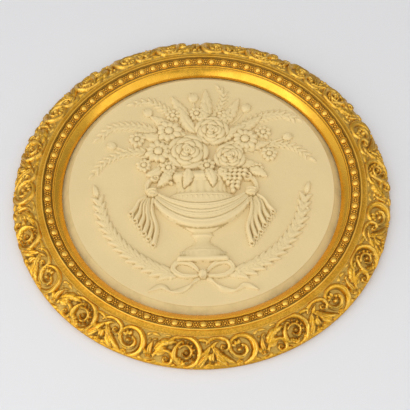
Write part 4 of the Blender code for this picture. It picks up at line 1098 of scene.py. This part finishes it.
class PLAQUE_PG_settings(bpy.types.PropertyGroup):
    relief_depth: part_of("Relief depth", "Depth of the plaster relief, as a share of the full carving", 1.0)
    scroll_height: part_of(
        "Scroll height", "Height of the frame's scrolls, as a share of the full carving", 1.0
    )
    pearl_radius: length("Pearl radius", "Radius of each pearl in the bead course", 0.0032)
    gold_light: colour("Gold", "Bright gold of the leaf", (0.97, 0.55, 0.062))
    # Colour of the painted highlight on raised tops and ridges.
    gold_highlight: colour("Highlight gold", "Paler gold of the worn tops", (0.99, 0.66, 0.15))
    gold_deep: colour("Deep gold", "Deeper gold where the leaf is thin", (0.84, 0.43, 0.030))
    patina: colour("Patina", "Dull ground between the forms", (0.56, 0.37, 0.085))
    # Colour of the grime and painted shade laid in creases and recesses.
    grime_and_shade: colour("Grime_and_shade", "Dirt in the creases", (0.22, 0.115, 0.016))
    patina_amount: part_of("Patina amount", "How much of the wash is left in the recesses", 0.75)
    varnish: part_of("Varnish", "How much clear varnish lies over the leaf", 0.3)
    burnish: part_of("Burnish", "Roughness of the burnished slope", 0.25)
    plaster: colour("Plaster", "Body colour of the plaster", (0.82, 0.635, 0.32))
    # Colour of the painted highlight on the relief's raised tops.
    plaster_highlight: colour("Highlight plaster", "Colour of the raised parts", (0.89, 0.715, 0.40))
    # Colour of the painted shade, with some grime, in the relief's recesses; the setting below says how
    # strong it is.
    plaster_shade: colour("Deep plaster", "Colour in the recesses", (0.42, 0.27, 0.075))
    plaster_shade_amount: part_of("Plaster shade", "How much darker the recesses are", 0.75)
    dust: colour("Bevel dust", "Colour of the dusty bevel", (0.83, 0.69, 0.35))


class PLAQUE_OT_moulding(bpy.types.Operator):
    """Build the turned frame with its inner slope, fillets, channel, ridge, band and back"""

    bl_idname = "plaque.moulding"
    bl_label = "Frame moulding"

    def execute(self, context):
        settings = context.scene.plaque
        profile = moulding_profile()
        points = turned_points([p[:2] for p in profile], FRAME_STEPS)
        faces = ring_faces(FRAME_STEPS, len(profile), True)
        mesh = mesh_of("frame_moulding", upright(points.reshape(-1, 3)), [faces])
        zones = np.array([p[2] for p in profile])
        zone = np.minimum(zones, np.roll(zones, -1))
        zone[-1] = BARE
        for _ in range(BARE + 1):
            mesh.materials.append(None)
        mesh.polygons.foreach_set("material_index", np.tile(zone, FRAME_STEPS).astype(np.int32))
        obj = add_object("frame_moulding", mesh)
        cutters = keyhole_cutters()
        for cutter in cutters:
            cut = obj.modifiers.new(cutter.name, "BOOLEAN")
            cut.operation = "DIFFERENCE"
            cut.solver = "EXACT"
            cut.object = cutter
        freeze(obj)
        for cutter in cutters:
            bpy.data.objects.remove(cutter, do_unlink=True)
        for face in obj.data.polygons:
            across, depth, up = face.center
            beside = abs(across) < KEY_HOLE * MM and -0.03 < up < -0.0025
            if beside and depth > -1.1 * KEY_DEPTH * MM:
                face.material_index = BARE
        x, y, d = local_places(obj.data)
        radius = np.hypot(x, y)
        near, far = CHANNEL_RADIUS
        # Grime and painted shade on the frame: dark lines at the channel's edges and the slope's foot, a dark
        # band on the lip's upright wall and a darker channel floor.
        groove = 1.3 * (line_at(radius, near - 0.1, 0.8) + line_at(radius, far + 0.1, 0.8))
        groove += line_at(radius, SLOPE_RADIUS + 0.35, 0.3)
        groove += eased(LIP_TOP - 0.6, LIP_TOP - 2.0, d) * (radius < FLANGE_RADIUS)
        floor = 0.9 * eased(near - 0.2, near + 0.4, radius) * eased(far + 0.4, far - 0.2, radius)
        set_share(obj.data, "crease", groove + floor)
        slope = eased(SCROLL_RADIUS + 0.4, SCROLL_RADIUS + 1.4, radius)
        set_share(obj.data, "recess", 0.6 * slope * eased(EDGE_RADIUS, EDGE_RADIUS - 3.0, radius))
        # Painted highlight: pale lines along the ridge and the scrolls' inner rim.
        painted_highlight = line_at(radius, RIDGE_RADIUS, 0.5) + 0.9 * line_at(radius, SCROLL_RADIUS - 0.2, 0.6)
        set_share(obj.data, "raised", painted_highlight)
        burnished = gilding(
            "burnished_gold", settings, settings.burnish, 0.02, 0.02, deeper=0.5, coat=0.8, tint=1.03
        )
        channel = gilding("channel_gold", settings, 0.44, 0.25, 0.5, coat=0.4)
        frosted = gilding("frosted_gold", settings, 0.58, 0.7, 1.2, metal=0.75, coat=0.0, tint=0.8)
        finish_piece(obj, "gilt", [burnished, channel, frosted, bare_wood("bare_wood")], "gilt_frame")
        return {"FINISHED"}


class PLAQUE_OT_scrolls(bpy.types.Operator):
    """Build the band of leafy scrolls moulded on the frame's slope"""

    bl_idname = "plaque.scrolls"
    bl_label = "Scroll ornament"

    def execute(self, context):
        settings = context.scene.plaque
        along = 250
        across = 76
        s = (np.arange(along) / along - 0.5) * SCROLL_SHEET[0]
        u = np.linspace(0.0, 1.0, across)
        grid_s, grid_u = np.meshgrid(s, u, indexing="ij")
        fit = hypot(EDGE_RADIUS - SCROLL_RADIUS, SCROLL_DEPTH - EDGE_DEPTH) / SCROLL_SHEET[1]
        lift = fit * scroll_repeat(grid_s, SCROLL_SHEET[1] * (1.0 - grid_u)) * settings.scroll_height
        lift = lift * eased(0.0, 0.05, grid_u) * (0.72 + 0.28 * eased(0.0, 0.35, grid_u))
        steps = along * SCROLL_REPEATS
        lift = np.tile(np.roll(lift, along // 2, axis=0), (SCROLL_REPEATS, 1))
        angle = (np.arange(steps) / steps * 360.0 + SCROLL_START) * pi / 180.0
        radius, depth = scroll_base(u)
        slope = scroll_slope(u)
        square = 1.0 / np.sqrt(1.0 + slope**2)
        r = radius[None, :] - lift * (slope * square)[None, :]
        d = depth[None, :] + lift * square[None, :]
        r = np.minimum(r, OUTER_LIMIT)
        under_u = np.linspace(1.0, 0.0, 8)
        under_r, under_d = scroll_base(under_u)
        r = np.concatenate([r, np.broadcast_to(under_r - SCROLL_SKIN, (steps, 8))], 1)
        d = np.concatenate([d, np.broadcast_to(under_d - 1.3, (steps, 8))], 1)
        points = np.stack([r * np.cos(angle)[:, None], r * np.sin(angle)[:, None], d], -1)
        faces = ring_faces(steps, across + 8, True)
        mesh = mesh_of("scroll_ornament", upright(points.reshape(-1, 3)), [faces])
        obj = add_object("scroll_ornament", mesh)
        soft = blurred(lift[:along].T, 2, wrap=True).T
        foot = np.zeros(r.shape, bool)
        foot[:, :across] = np.tile((lift[:along] < 0.05) & (soft > 0.1), (SCROLL_REPEATS, 1))
        thin_out(obj, MOST_TRIANGLES, foot.ravel())
        x, y, _ = local_places(obj.data)
        arc = 360.0 / SCROLL_REPEATS
        turn = ((np.degrees(np.arctan2(y, x)) - SCROLL_START) % arc) / arc
        slope_u = np.clip((np.hypot(x, y) - SCROLL_RADIUS) / (EDGE_RADIUS - SCROLL_RADIUS), 0.0, 1.0)
        high = read_grid(lift[:along], turn * along, slope_u * (across - 1))
        mean = read_grid(soft, turn * along, slope_u * (across - 1))
        inner = eased(1.0, 0.86, slope_u)
        set_share(obj.data, "recess", eased(1.1, 0.3, high) * (0.25 + 0.75 * inner))
        # Grime and painted shade in the scrolls' creases, fading near the outer edge.
        crease = (0.35 + 0.65 * eased(0.0, 0.3, high)) * (mean - high) / 0.6
        set_share(obj.data, "crease", inner * crease)
        # Painted highlight on the scrolls' tops.
        set_share(obj.data, "raised", (high - mean) / 0.5 + 0.2 * eased(2.0, 4.0, high))
        mat = gilding("scroll_gold", settings, 0.31, 0.35, 1.0, metal=0.97, deeper=0.8, coat=0.2, tint=0.92)
        finish_piece(obj, "gilt", [mat])
        return {"FINISHED"}


class PLAQUE_OT_beads(bpy.types.Operator):
    """Build the course of ringed pearls and sprigs round the channel"""

    bl_idname = "plaque.beads"
    bl_label = "Bead course"

    def execute(self, context):
        settings = context.scene.plaque
        mat = gilding("bead_gold", settings, 0.36, 0.12, 0.3, coat=0.5, tint=1.06)
        unit = bead_unit(settings)
        obj = add_object("bead_course", bpy.data.meshes.new("bead_course"))
        tree, names = round_the_ring_tree(mat)
        repeat = obj.modifiers.new("Round the ring", "NODES")
        repeat.node_group = tree
        for name, value in zip(names, (unit, BEADS, BEAD_START)):
            repeat[name] = value
        freeze(obj)
        bpy.data.objects.remove(unit, do_unlink=True)
        p = upright(places(obj.data) / MM)
        obj.data.vertices.foreach_set("co", np.ascontiguousarray(p, np.float32).ravel())
        obj.data.update()
        x, y, d = local_places(obj.data)
        floor = CHANNEL_DEPTH[0] - 0.3 + (np.hypot(x, y) - CHANNEL_RADIUS[0]) * CHANNEL_RISE
        # Grime and painted shade low down round the pearls, near the channel floor.
        set_share(obj.data, "crease", 1.0 - (d - floor) / 0.6)
        # Painted highlight on the tops of the pearls and sprigs.
        set_share(obj.data, "raised", 0.8 * (d - floor - 0.6) / 0.7)
        finish_piece(obj, "gilt", [mat])
        return {"FINISHED"}


class PLAQUE_OT_plaster(bpy.types.Operator):
    """Build the plaster round with its relief, hollow bevel, flange and back"""

    bl_idname = "plaque.plaster"
    bl_label = "Plaster relief"

    def execute(self, context):
        settings = context.scene.plaque
        steps = 1100
        rings = 230
        front = [(RELIEF_RADIUS * (i + 0.5) / rings, FIELD_DEPTH) for i in range(rings)]
        front += [(RELIEF_RADIUS + 1.0, FIELD_DEPTH), (FIELD_RADIUS - 0.9, FIELD_DEPTH)]
        front += round_over(FIELD_RADIUS - 0.7, FIELD_DEPTH - 0.7, 0.7, 80, 10, 4)
        for v in (0.04, 0.1, 0.16, 0.24, 0.34, 0.45, 0.56, 0.67, 0.78, 0.89, 1.0):
            depth = FLANGE_TOP + (FIELD_DEPTH - 0.7 - FLANGE_TOP) * (1.0 - v) ** 1.25
            front.append((FIELD_RADIUS + (BEVEL_RADIUS - FIELD_RADIUS) * v, depth))
        front += [(LEDGE_RADIUS, FLANGE_TOP), (FLANGE_RADIUS - 0.3, FLANGE_TOP)]
        front += [(FLANGE_RADIUS, FLANGE_TOP - 0.3), (FLANGE_RADIUS, BACK_DEPTH + 0.4)]
        front += [(FLANGE_RADIUS - 0.4, BACK_DEPTH)]
        front += [(radius, BACK_DEPTH) for radius in (120.0, 80.0, 40.0, 3.0)]
        points = turned_points(front, steps).reshape(-1, 3)
        reach = np.hypot(points[:, 0], points[:, 1])
        on = np.nonzero((reach < RELIEF_RADIUS) & (points[:, 2] > FIELD_DEPTH - 0.01))[0]
        height = plaque_relief(points[on, 0], points[on, 1]) * settings.relief_depth
        points[on, 2] += height
        count = len(front)
        faces = ring_faces(steps, count, False)
        top = len(points)
        points = np.vstack([points, [(0.0, 0.0, FIELD_DEPTH + height[0]), (0.0, 0.0, BACK_DEPTH)]])
        i = np.arange(steps)
        k = (i + 1) % steps
        lid = np.stack([np.full(steps, top), i * count, k * count], -1)
        base = np.stack([np.full(steps, top + 1), k * count + count - 1, i * count + count - 1], -1)
        obj = add_object("plaster_round", mesh_of("plaster_round", upright(points), [faces, lid, base]))
        side = np.arange(-RELIEF_RADIUS, RELIEF_RADIUS + 0.1, RELIEF_CELL)
        gx, gz = np.meshgrid(side, side)
        grid = plaque_relief(gx, gz) * settings.relief_depth
        near = blurred(grid, 3)
        wide = blurred(grid, 9)
        foot = np.zeros(len(points), bool)
        across, up = (points[on, :2] + RELIEF_RADIUS).T / RELIEF_CELL
        foot[on] = (height < 0.05) & (read_grid(near, up, across) > 0.12)
        reach = np.hypot(points[:, 0], points[:, 1])
        foot |= (np.abs(reach - FIELD_RADIUS - 0.3) < 1.3) & (points[:, 2] > FLANGE_TOP + 1)
        thin_out(obj, MOST_TRIANGLES, foot)
        x, y, d = local_places(obj.data)
        row = (y + RELIEF_RADIUS) / RELIEF_CELL
        column = (x + RELIEF_RADIUS) / RELIEF_CELL
        high = read_grid(grid, row, column)
        mean = read_grid(near, row, column)
        far = read_grid(wide, row, column)
        inside = (np.hypot(x, y) < RELIEF_RADIUS) & (d > FLANGE_TOP + 1)
        # Painted shade with some grime in the relief's hollows, and a thin dark line along the field's rim,
        # for the recess share.
        crease = (mean - high) / 0.8 + np.clip((far - high) / 8.0, 0.0, 0.3)
        radius = np.hypot(x, y)
        edge = 0.85 * line_at(radius, FIELD_RADIUS + 0.25, 0.5) * (d > FLANGE_TOP + 1)
        set_share(obj.data, "recess", inside * eased(0.02, 0.3, high) * crease + edge)
        # Painted highlight on the relief's raised tops.
        set_share(obj.data, "raised", inside * (high / 9.0 + (high - mean) / 1.2))
        set_share(obj.data, "bevel", eased(FIELD_RADIUS - 0.6, FIELD_RADIUS + 0.4, radius))
        finish_piece(obj, "plaster", [plaster_finish("cast_plaster", settings)], "relief_plaque")
        return {"FINISHED"}


def wall_paint():
    """White wall paint that is clear from behind, so that the back of the plaque can be seen."""
    n = Nodes("wall_paint")
    n.out(Base_Color=(0.80, 0.80, 0.81), Roughness=0.55)
    back = n.add("ShaderNodeNewGeometry", {})["Backfacing"]
    clear = n.add("ShaderNodeBsdfTransparent", {})[0]
    blend = n.add("ShaderNodeMixShader", {0: back, 1: n.shader.outputs[0], 2: clear})[0]
    feed(n.tree, n.tree.nodes["Material Output"].inputs["Surface"], blend)
    return n.mat


def studio_world():
    """An even white sky, dimmer on the side away from the windows."""
    world = bpy.data.worlds.new("studio")
    world.use_nodes = True
    tree = world.node_tree
    place = wired(tree, "ShaderNodeTexCoord", {})["Generated"]
    inputs = {0: place, 1: Vector(GLOW_FROM).normalized()}
    side = wired(tree, "ShaderNodeVectorMath", inputs, operation="DOT_PRODUCT")["Value"]
    inputs = {"From Min": -0.4, "From Max": 0.8, "To Min": 0.36, "To Max": 1.05, "Value": side}
    glow = wired(tree, "ShaderNodeMapRange", inputs, interpolation_type="SMOOTHSTEP")["Result"]
    sky = tree.nodes["Background"].inputs
    feed(tree, sky["Color"], (0.985, 0.985, 0.99))
    feed(tree, sky["Strength"], glow)
    return world


def add_light(name, place, size, power, aim):
    """A square lamp at a place, turned to aim."""
    data = bpy.data.lights.new(name, "AREA")
    data.size = size
    data.energy = power
    light = add_object(name, data)
    light.location = place
    light.rotation_euler = (aim - place).to_track_quat("-Z", "Y").to_euler()


def add_camera():
    """The photo's view, from below the plaque's centre."""
    camera = add_object("camera", bpy.data.cameras.new("camera"))
    eye = Vector(CAMERA_EYE)
    forward = (Vector(CAMERA_AIM) - eye).normalized()
    right = forward.cross(Vector((0.0, -1.0, 0.0))).normalized()
    up = right.cross(forward)
    side = right * cos(CAMERA_ROLL) + up * sin(CAMERA_ROLL)
    top = up * cos(CAMERA_ROLL) - right * sin(CAMERA_ROLL)
    camera.matrix_world = Matrix.Translation(eye) @ Matrix((side, top, -forward)).transposed().to_4x4()
    camera.data.lens = CAMERA_LENS
    camera.data.sensor_width = 36.0
    camera.data.clip_start = 0.01
    return camera


class PLAQUE_OT_stage(bpy.types.Operator):
    """Build the wall, floor, lights and camera"""

    bl_idname = "plaque.stage"
    bl_label = "Stage"

    def execute(self, context):
        scene = context.scene
        centre = Vector((0.0, 0.0, -HANG_HEIGHT * MM))
        # Wall with a round opening hidden behind the frame, so the back gets light too.
        a = np.arange(96) * 2 * pi / 96
        level = np.full(96, WALL_GAP)
        rows = [np.stack([r * np.cos(a), level, r * np.sin(a) + centre.z], -1) for r in WALL_RINGS]
        points = np.stack(rows, 1).reshape(-1, 3)
        wall = add_object("wall", mesh_of("wall", points, [ring_faces(96, len(WALL_RINGS), False)]))
        floor = add_object("floor", mesh_of("floor", np.array(FLOOR_CORNERS), [np.array([[0, 1, 2, 3]])]))
        paint = wall_paint()
        wall.data.materials.append(paint)
        floor.data.materials.append(paint)
        scene.world = studio_world()
        for name, place, size, power in LIGHTS:
            add_light(name, centre + Vector(place), size, power, centre)
        scene.camera = add_camera()
        scene.view_settings.view_transform = "Standard"
        return {"FINISHED"}


class PLAQUE_PT_panel(bpy.types.Panel):
    bl_label = "Relief plaque"
    bl_idname = "PLAQUE_PT_panel"
    bl_space_type = "VIEW_3D"
    bl_region_type = "UI"
    bl_category = "Plaque"

    def draw(self, context):
        settings = context.scene.plaque
        for name in settings.__annotations__:
            self.layout.prop(settings, name)
        for step in STEPS:
            self.layout.operator(step.bl_idname)


STEPS = (PLAQUE_OT_moulding, PLAQUE_OT_scrolls, PLAQUE_OT_beads, PLAQUE_OT_plaster, PLAQUE_OT_stage)
CLASSES = (PLAQUE_PG_settings, *STEPS, PLAQUE_PT_panel)


def register():
    for cls in CLASSES:
        bpy.utils.register_class(cls)
    bpy.types.Scene.plaque = bpy.props.PointerProperty(type=PLAQUE_PG_settings)


def unregister():
    del bpy.types.Scene.plaque
    for cls in reversed(CLASSES):
        bpy.utils.unregister_class(cls)


def main():
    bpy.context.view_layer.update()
    register()
    for step in STEPS:
        group, name = step.bl_idname.split(".")
        getattr(getattr(bpy.ops, group), name)()


if __name__ == "__main__":
    main()
